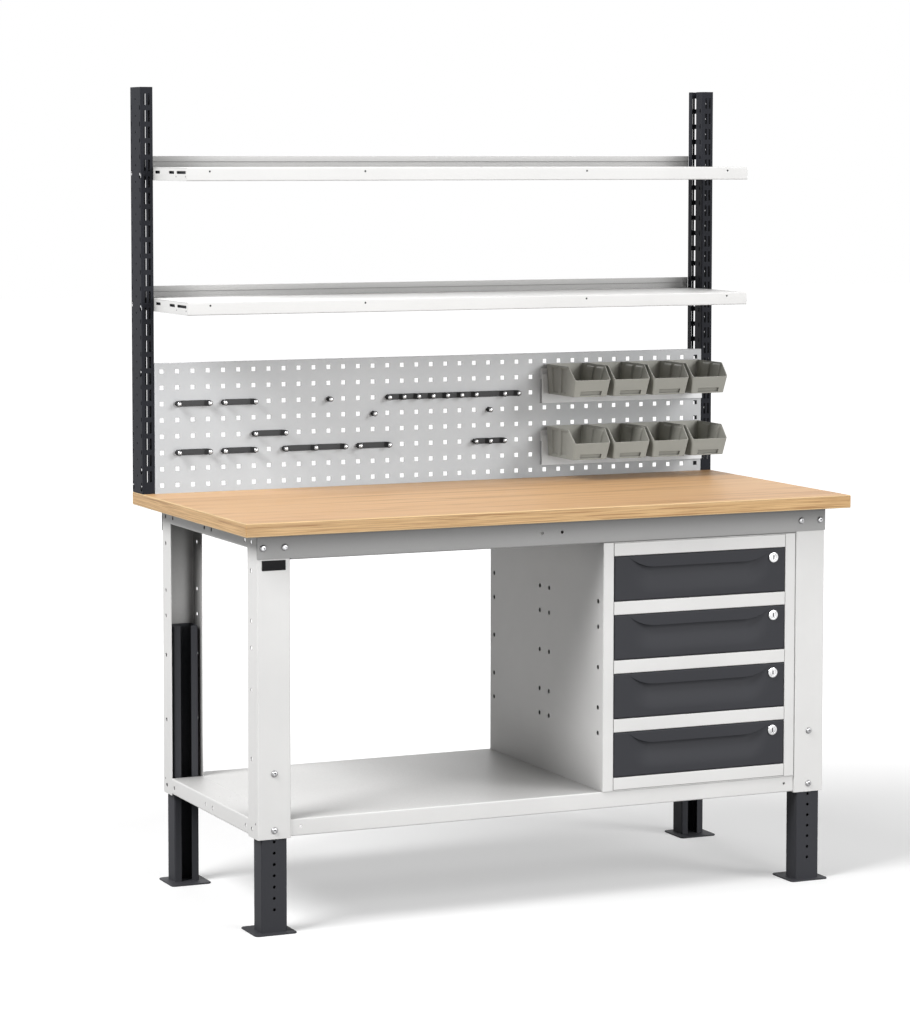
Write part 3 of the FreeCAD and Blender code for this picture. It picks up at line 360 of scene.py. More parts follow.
# Oiled beech. Top: staves floor(y / stave), each with its own tone and its grain moved along x. Edge: wavy grain
# over x + y, so that it runs with all four edges, a pale lip over a thin brown line above and a pale foot below.
def beechMaterial(look):
    material, tree, shader = newMaterial("oiled beech")
    place = addNode(tree, "ShaderNodeTexCoord")
    x, y, z = parted(tree, place.outputs["Object"])
    stave = reckon(tree, "FLOOR", times(tree, y, 1000.0 / look["stave"]))
    chance = addNode(tree, "ShaderNodeTexWhiteNoise", noise_dimensions="1D")
    tree.links.new(stave, chance.inputs["W"])
    shifted = addNode(tree, "ShaderNodeCombineXYZ")
    tree.links.new(plus(tree, x, times(tree, chance.outputs["Value"], look["shift"])), shifted.inputs[0])
    tree.links.new(y, shifted.inputs[1])
    tree.links.new(z, shifted.inputs[2])
    run = addNode(tree, "ShaderNodeMapping")
    run.inputs["Scale"].default_value = look["grain"]
    tree.links.new(shifted.outputs[0], run.inputs["Vector"])
    bands = noise(tree, run.outputs[0], 2.2, 6.0, 0.64, 0.7)
    fine = addNode(tree, "ShaderNodeMapping")
    fine.inputs["Scale"].default_value = look["pores"]
    tree.links.new(shifted.outputs[0], fine.inputs["Vector"])
    pores = noise(tree, fine.outputs[0], 2.0, 3.0, 0.55)
    tone = plus(tree, times(tree, bands, 0.80), times(tree, chance.outputs["Value"], 0.20))
    base = mixColour(tree, remap(tree, tone, 0.34, 0.64), look["pale"], look["warm"])
    base = mixColour(tree, remap(tree, bands, 0.52, 0.68, 0.0, 0.85), base, look["streak"])
    base = mixColour(tree, remap(tree, pores, 0.60, 0.72, 0.0, 0.28), base, look["streak"])
    # the band round the edge
    along, upwards = look["edgeGrain"]
    lift = addNode(tree, "ShaderNodeCombineXYZ")
    tree.links.new(times(tree, plus(tree, x, y), along), lift.inputs[0])
    tree.links.new(times(tree, z, upwards), lift.inputs[1])
    wavy = noise(tree, lift.outputs[0], 2.6, 5.0, 0.62, 1.4)
    band = mixColour(tree, remap(tree, wavy, 0.40, 0.66), look["edgePale"], look["edgeDeep"])
    lipLow = look["top"] - look["lip"]
    lip = reckon(tree, "GREATER_THAN", z, lipLow)
    line = reckon(tree, "GREATER_THAN", z, look["top"] - look["line"])
    line = times(tree, line, reckon(tree, "LESS_THAN", z, lipLow))
    foot = reckon(tree, "LESS_THAN", z, look["under"] + look["foot"])
    band = mixColour(tree, times(tree, line, 0.55), band, look["lineColour"])
    band = mixColour(tree, times(tree, plus(tree, lip, foot, True), 0.45), band, look["lipColour"])
    shape = addNode(tree, "ShaderNodeNewGeometry")
    facing = parted(tree, shape.outputs["Normal"])["Z"]
    flat = reckon(tree, "GREATER_THAN", reckon(tree, "ABSOLUTE", facing), look["level"])
    base = mixColour(tree, flat, band, base)
    # what the wood throws on its neighbours is kept near grey
    path = addNode(tree, "ShaderNodeLightPath")
    thrown = reckon(tree, "MAXIMUM", path.outputs["Is Diffuse Ray"], path.outputs["Is Glossy Ray"])
    base = mixColour(tree, thrown, base, look["bounce"])
    tree.links.new(base, shader.inputs["Base Color"])
    low, high = look["roughness"] - look["smoother"], look["roughness"] + look["rougher"]
    tree.links.new(remap(tree, pores, 0.3, 0.7, low, high), shader.inputs["Roughness"])
    edge = placeGroup(tree, edgeWear, Width=look["arris"], Strength=look["wear"])
    bumpInto(tree, shader, pores, look["relief"], look["height"], edge.outputs["Normal"])
    return material


lightGrey = (0.810, 0.805, 0.795)
finish = {
    # shade puts painted shade in the corners of the light grey parts
    "light_paint": paintMaterial("light grey powder paint", lightGrey, 0.42, shade=0.85),
    # the beams: the light grey darkened all over and in its corners, painted shade under the worktop's overhang
    "beam_painted_shade": paintMaterial("beam paint with painted shade", (0.390, 0.388, 0.385), 0.46, shade=0.9, reach=0.2),
    # painted shade on the upward faces that lie under the worktop
    "shelf_painted_shade": paintMaterial("low shelf paint with painted shade", lightGrey, 0.42, shade=0.85, reach=0.7, topOnly=True),
    "panel": paintMaterial("panel grey powder paint", (0.590, 0.598, 0.608), 0.50),
    "dark_paint": paintMaterial("anthracite powder paint", (0.042, 0.043, 0.049), 0.56, tone=0.06,
                                worn=(0.10, 0.10, 0.11), wear=0.35, lying=0.02, gloss=0.16),
    "upright_paint": paintMaterial("upright powder paint", (0.019, 0.020, 0.025), 0.56, tone=0.06,
                                   worn=(0.05, 0.05, 0.06), wear=0.35, lying=0.02, gloss=0.10),
    "white_paint": paintMaterial("white powder paint", (0.930, 0.935, 0.940), 0.40),
    "beech_top": beechMaterial(beechLook),
    # painted shade in the bins' crevices; their edges are made strongly pale
    "bin_plastic": plasticMaterial("bin plastic", (0.385, 0.380, 0.342), 0.50, wear=0.8,
                                   worn=(0.66, 0.65, 0.61), shade=0.55),
    "clip_plastic": plasticMaterial("clip plastic", (0.012, 0.012, 0.013), 0.42,
                                    worn=(0.05, 0.05, 0.05), gloss=0.35),
    "plate_plastic": plasticMaterial("plate plastic", (0.004, 0.004, 0.005), 0.30, relief=0.03,
                                     worn=(0.03, 0.03, 0.03), gloss=0.08),
    "bright_metal": metalMaterial("bright plate", (0.82, 0.82, 0.83), 0.16),
    "zinc_steel": metalMaterial("zinc steel", (0.55, 0.55, 0.56), 0.30, (1, 12, 1)),
}
print("finishes:", len(finish))


# The mesh that is left of a mesh after its modifiers, each given as (kind, values).
def baked(name, mesh, modifiers):
    blank = bpy.data.objects.new(name, mesh)
    bpy.context.scene.collection.objects.link(blank)
    for kind, values in modifiers:
        modifier = blank.modifiers.new(kind.lower(), kind)
        for key, value in values.items():
            setattr(modifier, key, value)
    bpy.context.view_layer.update()
    finished = bpy.data.meshes.new_from_object(blank.evaluated_get(bpy.context.evaluated_depsgraph_get()))
    bpy.data.objects.remove(blank)
    bpy.data.meshes.remove(mesh)
    return finished


# The modifier that gives a sheet its thickness, half to each side.
def solid(thickness):
    return "SOLIDIFY", {"thickness": thickness * millimetre, "offset": 0.0, "use_even_offset": True}


# The modifier that rounds every arris of more than 35 degrees.
def soften(width, segments=2):
    return "BEVEL", {"width": width * millimetre, "segments": segments, "limit_method": "ANGLE",
                     "angle_limit": radians(35)}


# One mesh of several shapes in millimetres, joined where they meet, turned outwards and finished by modifiers.
def finishedMesh(name, shapes, modifiers):
    offsets = np.cumsum([0] + [len(vertices) for vertices, faces in shapes])
    vertices = np.concatenate([vertices for vertices, faces in shapes]) * millimetre
    faces = [[int(index + offset) for index in face]
             for (points, group), offset in zip(shapes, offsets) for face in group]
    mesh = bpy.data.meshes.new(name)
    mesh.from_pydata(vertices.tolist(), [], faces)
    work = bmesh.new()
    work.from_mesh(mesh)
    bmesh.ops.remove_doubles(work, verts=work.verts, dist=1e-6)
    bmesh.ops.recalc_face_normals(work, faces=work.faces)
    work.to_mesh(mesh)
    work.free()
    return baked(name, mesh, modifiers)


# A piece of folded sheets, which get their thickness here, and of solid shapes. It rides on a body and stands
# for nodes.
def addPiece(name, body, slot, sheets=(), solids=(), stands=(), thickness=2.0, edge=0.3, smooth=50,
             material=None):
    parts = []
    if sheets:
        parts.append(finishedMesh(name, sheets, [solid(thickness)] + ([soften(edge, 1)] if edge else [])))
    if solids:
        parts.append(finishedMesh(name, solids, [soften(edge)] if edge else []))
    work = bmesh.new()
    for part in parts:
        work.from_mesh(part)
        bpy.data.meshes.remove(part)
    mesh = bpy.data.meshes.new(name)
    work.to_mesh(mesh)
    work.free()
    return dressed(name, mesh, body, slot, stands, smooth, material)


# Gives a mesh its shading and finish, and sets it on its body.
def dressed(name, mesh, body, slot, stands=(), smooth=50, material=None):
    mesh.shade_smooth()
    mesh.set_sharp_from_angle(angle=radians(smooth))
    mesh.materials.clear()
    mesh.materials.append(material or finish[slot])
    piece = bpy.data.objects.new(name, mesh)
    bpy.context.scene.collection.objects.link(piece)
    weighted = piece.modifiers.new("weighted", "WEIGHTED_NORMAL")
    weighted.keep_sharp = True
    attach(piece, body)
    if stands:
        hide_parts(*stands)
    return piece


# Lines that part a row of openings, each half way across a free gap.
def partingLines(low, high):
    if len(low) < 2:
        return np.zeros(0)
    order = np.argsort(low)
    low, high = np.asarray(low)[order], np.maximum.accumulate(np.asarray(high)[order])
    free = low[1:] > high[:-1] + 1e-6
    return (low[1:][free] + high[:-1][free]) / 2


# A round hole as an opening in a folded sheet.
def roundHole(run, across, along, size):
    return run, across, along, size, size, size


# Outline of an opening: a rectangle with rounded corners, or a circle where the radius is half its side.
def openingOutline(across, along, width, height, radius, steps):
    radius = min(radius, width / 2, height / 2)
    inside = (np.arange(steps) + 0.5) / steps * pi / 2
    angle = np.concatenate([start + inside for start in (pi, 1.5 * pi, 0, 0.5 * pi)])
    signX = np.repeat([-1, 1, 1, -1], steps)
    signY = np.repeat([-1, -1, 1, 1], steps)
    return np.stack([
        across + signX * (width / 2 - radius) + radius * np.cos(angle),
        along + signY * (height / 2 - radius) + radius * np.sin(angle),
    ], 1)


# A folded sheet's middle surface: straight runs between corners, an arc at each fold, carried along
# its length. An opening is (run, place across the run, place along the length, width, height, radius).
# A notch is (low, high, low, high), first across the opened-out sheet and then along its length.
def foldedSheet(corners, length, radius=2.5, openings=(), notches=(), start=0.0, roundness=4):
    steps = 4  # flats in the arc of a fold
    corners = np.array(corners, float)
    edge = np.diff(corners, axis=0)
    size = np.hypot(edge[:, 0], edge[:, 1])
    unit = edge / size[:, None]
    opened = np.r_[0, np.cumsum(size)]
    turn = np.arctan2(unit[:-1, 0] * unit[1:, 1] - unit[:-1, 1] * unit[1:, 0], (unit[:-1] * unit[1:]).sum(1))
    trim = radius * np.tan(np.abs(turn) / 2)
    low = np.r_[0, trim]
    high = size - np.r_[trim, 0]
    points, cells = [], []
    for run in range(len(size)):
        mine = [item for item in openings if item[0] == run]
        inner = list(partingLines(*[[item[1] + sign * item[3] / 2 for item in mine] for sign in (-1, 1)]))
        inner += [place - opened[run] for notch in notches for place in notch[:2]]
        inner = [place for place in sorted(set(inner)) if low[run] + 0.01 < place < high[run] - 0.01]
        places = np.r_[low[run], inner, high[run]]
        points.append(corners[run] + places[:, None] * unit[run])
        cells += [(run, a, b, opened[run] + (a + b) / 2) for a, b in zip(places[:-1], places[1:])]
        if run < len(turn):
            side = np.sign(turn[run])
            normal = np.array([-unit[run][1], unit[run][0]]) * side
            middle = corners[run] + high[run] * unit[run] + normal * radius
            angle = np.linspace(0, abs(turn[run]), steps + 1)[1:-1]
            points.append(middle - radius * np.cos(angle)[:, None] * normal
                          + radius * np.sin(angle)[:, None] * unit[run])
            cells += [(-1, 0, 0, opened[run + 1])] * steps
    points = np.concatenate(points)
    cuts = list(partingLines(*[[item[2] + sign * item[4] / 2 for item in openings] for sign in (-1, 1)]))
    cuts += [place for notch in notches for place in notch[2:]]
    cuts = [place for place in sorted(set(cuts)) if start + 0.01 < place < start + length - 0.01]
    along = np.r_[start, cuts, start + length]
    across, rows = len(points), len(along)
    vertices = [np.concatenate([np.repeat(points, rows, 0), np.tile(along, across)[:, None]], 1)]
    first = (np.arange(across - 1)[:, None] * rows + np.arange(rows - 1)).ravel()
    quads = np.stack([first, first + rows, first + rows + 1, first + 1], 1)
    kept = np.ones((across - 1, rows - 1), bool)
    place = np.array([cell[3] for cell in cells])
    reach = (along[:-1] + along[1:]) / 2
    for lowAcross, highAcross, lowAlong, highAlong in notches:
        inAcross = (place > lowAcross) & (place < highAcross)
        kept &= ~(inAcross[:, None] & ((reach > lowAlong) & (reach < highAlong)))
    kept = kept.ravel()
    rings = []
    count = across * rows
    for run, place, height0, width, height, corner in openings:
        column = next(i for i, cell in enumerate(cells) if cell[0] == run and cell[1] < place < cell[2])
        row = int(np.searchsorted(along, height0)) - 1
        cell = column * (rows - 1) + row
        kept[cell] = False
        rim = openingOutline(place, height0, width, height, corner, roundness)
        flat = corners[run] + rim[:, :1] * unit[run]
        vertices.append(np.concatenate([flat, rim[:, 1:]], 1))
        total = 4 * roundness
        for side in range(4):
            part = [count + (side * roundness + k) % total for k in range(roundness, -1, -1)]
            rings.append([quads[cell][side], quads[cell][(side + 1) % 4]] + part)
        count += total
    return np.concatenate(vertices), list(quads[kept]) + rings


# A flat sheet is a folded one with a single run.
def flatSheet(width, length, openings=()):
    return foldedSheet([(0, 0), (width, 0)], length, 0, openings)


# Sets a shape's three directions and its starting corner.
def laid(shape, origin, across, depth, along):
    vertices, faces = shape
    return np.array(origin, float) + vertices @ np.array([across, depth, along], float), faces


# The same shape further along by an offset.
def moved(shape, offset):
    vertices, faces = shape
    return vertices + np.array(offset, float), faces


# A grid of points as faces; its rows may close on themselves.
def gridFaces(points, closeAlong=False):
    rows, columns = points.shape[:2]
    i = np.arange(rows - 1)
    j = np.arange(columns if closeAlong else columns - 1)
    i, j = [part.ravel() for part in np.meshgrid(i, j, indexing="ij")]
    down, right = i + 1, (j + 1) % columns
    quads = np.stack([i * columns + j, down * columns + j, down * columns + right, i * columns + right], 1)
    return points.reshape(-1, 3), list(quads)


# A profile of (radius, height) turned about an axis and closed at both ends. A radius may vary over the turn.
def turned(profile, steps=24, facing=toTop, origin=(0, 0, 0)):
    angle = np.arange(steps) * 2 * pi / steps
    radius = np.array([np.broadcast_to(reach, steps) for reach, height in profile], float)
    height = np.array([height for reach, height in profile], float)[:, None].repeat(steps, 1)
    points = np.stack([radius * np.cos(angle), radius * np.sin(angle), height], 2)
    vertices, faces = gridFaces(points, closeAlong=True)
    last = (len(profile) - 1) * steps
    faces = [face[::-1] for face in faces] + [list(range(steps))[::-1], [last + k for k in range(steps)]]
    turnTo = np.array(Vector(toTop).rotation_difference(Vector(facing)).to_matrix())
    return vertices @ turnTo.T + np.array(origin, float), faces


# Reach of a hexagon over a full turn: size * cos(30) / cos(angle from the middle of the nearest side).
def hexagonReach(size, steps=24):
    angle = np.arange(steps) * 2 * pi / steps
    return size * cos(pi / 6) / np.cos(angle % (pi / 3) - pi / 6)


# Reach of a rectangle: the lesser of half the width / cos(angle) and half the height / sin(angle).
def rectangleReach(width, height, steps=24):
    angle = np.arange(steps) * 2 * pi / steps + 1e-9
    return np.minimum(width / 2 / np.abs(np.cos(angle)), height / 2 / np.abs(np.sin(angle)))


# A list of points (inset, depth) carried round a rectangle with rounded corners: each makes a ring that lies
# this far inside the rectangle, at this depth.
def framed(section, width, height, radius=2.0, steps=4):
    angle = np.concatenate([start + np.linspace(0, pi / 2, steps) for start in (0, pi / 2, pi, 1.5 * pi)])
    signX, signY = np.repeat([1, -1, -1, 1], steps), np.repeat([1, 1, -1, -1], steps)
    rings = []
    for inset, depth in section:
        turnRadius = max(radius - inset, 0.05)
        rings.append(np.stack([
            signX * (width / 2 - inset - turnRadius) + turnRadius * np.cos(angle),
            signY * (height / 2 - inset - turnRadius) + turnRadius * np.sin(angle),
            np.full(len(angle), float(depth)),
        ], 1))
    return gridFaces(np.array(rings), closeAlong=True)


# The same with its first and its last ring closed.
def cappedFrame(section, width, height, radius, steps):
    rings, faces = framed(section, width, height, radius, steps)
    count = len(rings) // len(section)
    return rings, faces + [list(range(count)), [len(rings) - count + k for k in range(count)]]


# A block with square corners between two opposite corners.
def block(low, high):
    low, high = np.array(low, float), np.array(high, float)
    pick = np.array([(x, y, z) for z in (0, 1) for y in (0, 1) for x in (0, 1)])
    faces = [(0, 2, 3, 1), (4, 5, 7, 6), (0, 1, 5, 4), (2, 6, 7, 3), (0, 4, 6, 2), (1, 3, 7, 5)]
    return low + pick * (high - low), faces


# A closed outline in two directions carried along the third.
def extruded(outline, low, high):
    outline = np.array(outline, float)
    count = len(outline)
    vertices = np.concatenate([np.c_[outline, np.full(count, place)] for place in (low, high)])
    k = np.arange(count)
    sides = np.stack([k, (k + 1) % count, (k + 1) % count + count, k + count], 1)
    return vertices, list(sides) + [list(range(count))[::-1], [count + i for i in range(count)]]


# A node's own shape with its triangles joined into clean faces and its arrises eased.
def easedCopy(node, body, slot, width):
    name = node + "_eased"
    mesh = baked(name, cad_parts[node].data.copy(), [
        ("WELD", {"merge_threshold": 1e-5}),
        ("DECIMATE", {"decimate_type": "DISSOLVE", "angle_limit": radians(1)}),
        soften(width),
    ])
    return dressed(name, mesh, body, slot, (node,))


print("shape tools ready")


worktopLook = {"length": 1500, "depth": 750, "under": 878, "top": 908, "arris": 2.5, "corner": 1.6}


# The board as rings of (inset, height) from its underside up, with a fine groove under its rounded upper arris.
def slab(look):
    under, top, arris = look["under"], look["top"], look["arris"]
    section = [(1.0, under), (0.0, under + 1.0), (0.0, top - arris - 0.7), (0.35, top - arris - 0.35),
               (0.0, top - arris), (0.35, top - 1.3), (1.2, top - 0.35), (arris, top)]
    return cappedFrame(section, look["length"], look["depth"], look["corner"], 4)


addPiece("worktopBoard", "bench", "beech_top", solids=[slab(worktopLook)], stands=["worktop"], edge=0, smooth=40)


# the corners of the bench as (name, side, front), and how far the frame reaches to the front and the back
corners = (("front_left", -1, 1), ("front_right", 1, 1), ("back_left", -1, -1), ("back_right", 1, -1))
frameFace = {1: -329.0, -1: 287.0}
legLook = {
    "middle": 669, "half": 38, "depth": 58, "low": 209.5, "high": 878, "bend": 3.0,
    "hole": 9.5, "holeHeights": (859, 796, 686, 627, 535, 383, 229), "holeSetback": {1: 36.7, -1: 24.0},
    "smallHole": 5, "smallHoles": ((14, 243),),
}
footLook = {
    "half": 29, "depth": 47, "lip": 16, "start": 2.3, "low": 3.5, "high": 603.5, "bend": 2.5,
    "hole": 7, "firstHole": 53.5, "pitch": 25, "margin": 12, "plate": 98, "plateCorner": 10, "plateMiddle": 34,
}
boltLook = {"radius": 7.2, "height": 3.6, "recess": (3.1, 2.9), "legHeights": (228.5, 353.5), "beamHeight": 848,
            "beamPlaces": (644, 694)}


# A channel that opens to the middle of the bench, with the row of holes along both its flanges.
def outerLeg(side, front):
    look = legLook
    half, depth, back = look["half"], look["depth"], look["holeSetback"][front]
    openings = [roundHole(run, depth - back if run == 0 else back - 1, height, look["hole"])
                for run in (0, 2) for height in look["holeHeights"]]
    openings += [roundHole(run, depth - place if run == 0 else place - 1, height, look["smallHole"])
                 for run in (0, 2) for place, height in look["smallHoles"]]
    profile = [(-half, depth), (-half, 1), (half, 1), (half, depth)]
    shape = foldedSheet(profile, look["high"] - look["low"], look["bend"], openings, start=look["low"])
    return laid(shape, (side * look["middle"], frameFace[front], 0), (front, 0, 0), (0, front, 0), toTop)


# A lipped channel with a row of round holes up its web, standing on a square plate with round corners.
def innerLeg(side, front):
    look = footLook
    half, depth, inner = look["half"], look["depth"], look["half"] - look["lip"]
    count = int((look["high"] - look["firstHole"] - look["margin"]) // look["pitch"]) + 1
    openings = [roundHole(2, half, look["firstHole"] + k * look["pitch"], look["hole"]) for k in range(count)]
    profile = [(inner, depth), (half, depth), (half, 1), (-half, 1), (-half, depth), (-inner, depth)]
    shape = foldedSheet(profile, look["high"] - look["low"], look["bend"], openings, start=look["low"])
    origin = (side * legLook["middle"], frameFace[front] + front * look["start"], 0)
    channel = laid(shape, origin, (front, 0, 0), (0, front, 0), toTop)
    section = [(0.6, 0), (0, 0.6), (0, look["low"] - 0.6), (0.6, look["low"])]
    plate = cappedFrame(section, look["plate"], look["plate"], look["plateCorner"], 6)
    return channel, moved(plate, np.array(origin) + np.array([0, front * look["plateMiddle"], 0]))


# The low head of a bolt: a rounded rim, a slightly domed face and a six-sided recess in it.
def boltHead(x, y, z, front):
    radius, height = boltLook["radius"], boltLook["height"]
    mouth, bottom = (hexagonReach(size) for size in boltLook["recess"])
    profile = [(radius - 0.3, 0), (radius, 0.35), (radius, 1.1), (radius - 0.7, 2.3),
               (radius - 2.0, height - 0.3), (radius - 3.0, height), (mouth, height), (bottom, height - 2.0),
               (0.6, height - 2.3)]
    return turned(profile, 24, (0, -front, 0), (x, y, z))


legBolts, beamBolts = [], []
for corner, side, front in corners:
    addPiece("legChannel_" + corner, "bench", "light_paint", [outerLeg(side, front)],
             stands=["outer_leg_" + corner])
    channel, plate = innerLeg(side, front)
    addPiece("footChannel_" + corner, "foot_" + corner, "dark_paint", [channel], [plate],
             ["inner_leg_" + corner])
    for height in boltLook["legHeights"]:
        legBolts.append(boltHead(side * legLook["middle"], frameFace[front], height, front))
    for place in boltLook["beamPlaces"]:
        beamBolts.append(boltHead(side * place, frameFace[front] - 2 * front, boltLook["beamHeight"], front))
addPiece("legBoltHeads", "bench", "zinc_steel", solids=legBolts, stands=["leg_bolts"], edge=0, smooth=40)
addPiece("beamBoltHeads", "bench", "zinc_steel", solids=beamBolts, stands=["beam_bolts"], edge=0, smooth=40)
print("end frames and feet done")


beamLook = {"reach": 708, "free": 629.5, "low": 820.5, "height": 57.5, "flange": 40, "bend": 2.5,
            "holes": (-25, 25), "holeHeight": 850, "hole": 7}
sideLook = {
    "outer": 708, "front": -271, "length": 500, "bend": 2.5, "topLow": 843.5, "topHeight": 34.5,
    "topFlange": 30, "topHoleHeight": 859.7, "lowLow": 213, "lowHeight": 37, "lowLip": 20, "lowFlange": 73,
    "lowHoleHeight": 230, "ledge": 27, "ledgeInset": 72, "ledgeDrop": 2.5,
    "holes": (212.8, 1.9, -44.3, -254.4), "hole": 9.5,
    "deckHole": 4, "deckHoles": ((24, -22), (44, -36), (32, -62), (44, -76)),
}


# A channel whose flanges stop short of the legs, so that only its web laps over them.
def beam(front):
    look = beamLook
    height, flange, reach = look["height"], look["flange"], look["reach"]
    profile = [(flange, 1), (1, 1), (1, height - 1), (flange, height - 1)]
    whole = 2 * (flange - 1) + height - 2
    notches = []
    for low, high in ((-reach - 1, -look["free"]), (look["free"], reach + 1)):
        notches += [(-1, flange - 0.999, low, high), (whole - flange + 0.999, whole + 1, low, high)]
    holes = [roundHole(1, look["holeHeight"] - look["low"] - 1, x, look["hole"]) for x in look["holes"]]
    shape = foldedSheet(profile, 2 * reach, look["bend"], holes if front > 0 else (), notches, start=-reach)
    return laid(shape, (0, frameFace[front] - 2 * front, look["low"]), (0, front, 0), toTop, (front, 0, 0))


# The channel along the top of an end frame, its web outwards.
def topSideRail(side):
    look = sideLook
    flange, height = look["topFlange"], look["topHeight"]
    profile = [(flange, 1), (1, 1), (1, height - 1), (flange, height - 1)]
    holes = [roundHole(1, look["topHoleHeight"] - look["topLow"] - 1, y, look["hole"]) for y in look["holes"]]
    shape = foldedSheet(profile, look["length"], look["bend"], holes, start=look["front"])
    return laid(shape, (side * look["outer"], 0, look["topLow"]), (-side, 0, 0), toTop, toBack)


# The rail along the bottom: a lip, a web outwards, a wide upper flange, and a ledge under it for the shelf.
def lowSideRail(side):
    look = sideLook
    height = look["lowHeight"]
    profile = [(look["lowLip"], 1), (1, 1), (1, height - 1), (look["lowFlange"] + 1, height - 1)]
    holes = [roundHole(1, look["lowHoleHeight"] - look["lowLow"] - 1, y, look["hole"]) for y in look["holes"]]
    holes += [roundHole(2, place, y, look["deckHole"]) for place, y in look["deckHoles"]]
    shape = foldedSheet(profile, look["length"], look["bend"], holes, start=look["front"])
    place = (side * look["outer"], 0, look["lowLow"])
    onFrame = laid(shape, place, (-side, 0, 0), toTop, toBack)
    ledge = flatSheet(look["ledge"], look["length"])
    ledgeHeight = look["lowLow"] + height - look["ledgeDrop"]
    place = (side * (look["outer"] - look["ledgeInset"]), look["front"], ledgeHeight)
    return [onFrame, laid(ledge, place, (-side, 0, 0), toTop, toBack)]


# the beams take the darker copy of the light grey that stands for the shade under the worktop
for hand, front in (("front", 1), ("back", -1)):
    addPiece(hand + "BeamChannel", "bench", "light_paint", [beam(front)], stands=[hand + "_beam"],
             material=finish["beam_painted_shade"])
for hand, side in (("left", -1), ("right", 1)):
    addPiece("topSideChannel_" + hand, "bench", "light_paint", [topSideRail(side)],
             stands=["top_side_rail_" + hand])
    # the low rails share the painted shade of the low shelf
    addPiece("lowSideChannel_" + hand, "bench", "light_paint", lowSideRail(side),
             stands=["low_side_rail_" + hand], material=finish["shelf_painted_shade"])


shelfLook = {"wide": 633.5, "narrow": 630.6, "front": -325, "back": 283, "step": 53.5, "top": 250, "lip": 38,
             "turn": 12, "sheet": 1.5, "bend": 2.0, "holes": (-606, 606), "holeHeight": 232.5, "hole": 6}


# A deck with a lip turned down and in at the front and the back, narrower where it passes between the legs.
def lowShelf():
    look = shelfLook
    half = look["sheet"] / 2
    deep = look["back"] - look["front"]
    low = -look["lip"] + half
    profile = [(look["turn"], low), (half, low), (half, -half),
               (deep - half, -half), (deep - half, low), (deep - look["turn"], low)]
    before = look["turn"] - half + look["lip"] - 2 * half  # length of a lip, opened out
    whole = 2 * before + deep - 2 * half
    step, notches = look["step"], []
    for start, end in ((-look["wide"] - 1, -look["narrow"]), (look["narrow"], look["wide"] + 1)):
        notches += [(-1, before + step, start, end), (whole - before - step, whole + 1, start, end)]
    holes = [roundHole(1, look["holeHeight"] - look["top"] - low, x, look["hole"]) for x in look["holes"]]
    shape = foldedSheet(profile, 2 * look["wide"], look["bend"], holes, notches, start=-look["wide"])
    return laid(shape, (0, look["front"], look["top"]), toBack, toTop, toRight)


# the low shelf carries painted shade on its deck under the worktop
addPiece("lowShelfSheet", "bench", "light_paint", [lowShelf()], stands=["low_shelf"],
         thickness=shelfLook["sheet"], material=finish["shelf_painted_shade"])
easedCopy("blank_plate", "bench", "plate_plastic", 0.35)
print("beams, rails and low shelf done")


cabinetLook = {
    "middle": 380, "half": 249.25, "opening": 223.25, "depth": 607.25, "turn": 20, "low": 251.5, "high": 818.5,
    "sheet": 1.5, "bend": 2.0, "railBend": 1.6, "railGap": 0.9,
    "holeHeights": (684.5, 626, 533.5, 440.7, 382.3), "holeSetbacks": (26, 281, 330.5, 585), "hole": 10.5,
    "railHeights": ((251.5, 280.5), (384.125, 415.125), (518.75, 549.75), (653.375, 684.375), (788, 818.5)),
}


# The sides and back in one sheet, with the front posts turned in.
def cabinetShell():
    look = cabinetLook
    half, opening, depth, face = look["half"], look["opening"], look["depth"], look["sheet"] / 2
    profile = [(-opening, look["turn"]), (-opening, face), (-half, face), (-half, depth),
               (half, depth), (half, face), (opening, face), (opening, look["turn"])]
    holes = [roundHole(run, back - face if run == 2 else depth - back, height, look["hole"])
             for run in (2, 4) for back in look["holeSetbacks"] for height in look["holeHeights"]]
    shape = foldedSheet(profile, look["high"] - look["low"], look["bend"], holes, start=look["low"])
    return laid(shape, (look["middle"], frameFace[1], 0), toRight, toBack, toTop)


# A rail across the front: its upper and lower edges are turned back.
def cabinetRail(low, high):
    look = cabinetLook
    face, turn = look["sheet"] / 2, look["turn"]
    profile = [(turn, low + face), (face, low + face), (face, high - face), (turn, high - face)]
    reach = look["opening"] - look["railGap"]
    shape = foldedSheet(profile, 2 * reach, look["railBend"], start=-reach)
    return laid(shape, (look["middle"], frameFace[1], 0), toBack, toTop, toRight)


addPiece("cabinetSheet", "bench", "light_paint", [cabinetShell()], stands=["cabinet_shell"],
         thickness=cabinetLook["sheet"])
rails = [cabinetRail(low, high) for low, high in cabinetLook["railHeights"]]
addPiece("cabinetCrossRails", "bench", "light_paint", rails, stands=["cabinet_rails"],
         thickness=cabinetLook["sheet"], edge=0.2)
for node in ("cabinet_floor", "cabinet_roof"):
    easedCopy(node, "bench", "light_paint", 0.3)
easedCopy("fixed_runners", "bench", "zinc_steel", 0.2)


drawerLook = {
    "half": 221.5, "height": 101.625, "depth": 20, "sheet": 1.5, "flange": 13, "edge": 2.2, "corner": 2.6,
    "gripHalf": 188, "curve": 72, "drop": 27, "pressed": 11, "reach": 62, "firstBase": 281.5, "pitch": 134.625,
    "lockPlace": 190.7, "lockRise": 80.625,
}
lockLook = {
    "radius": 12, "height": 3, "plug": 7.4, "keyWidth": 2.4, "keyHeight": 9.5,
    "barrel": 7.6, "barrelLength": 20.5,
    "cam": ((-31, 20.5, -4.5), (4.5, 22.5, 4.5)), "keywayShade": ((-0.95, -1.7, -4.4), (0.95, -0.9, 4.4)),
}


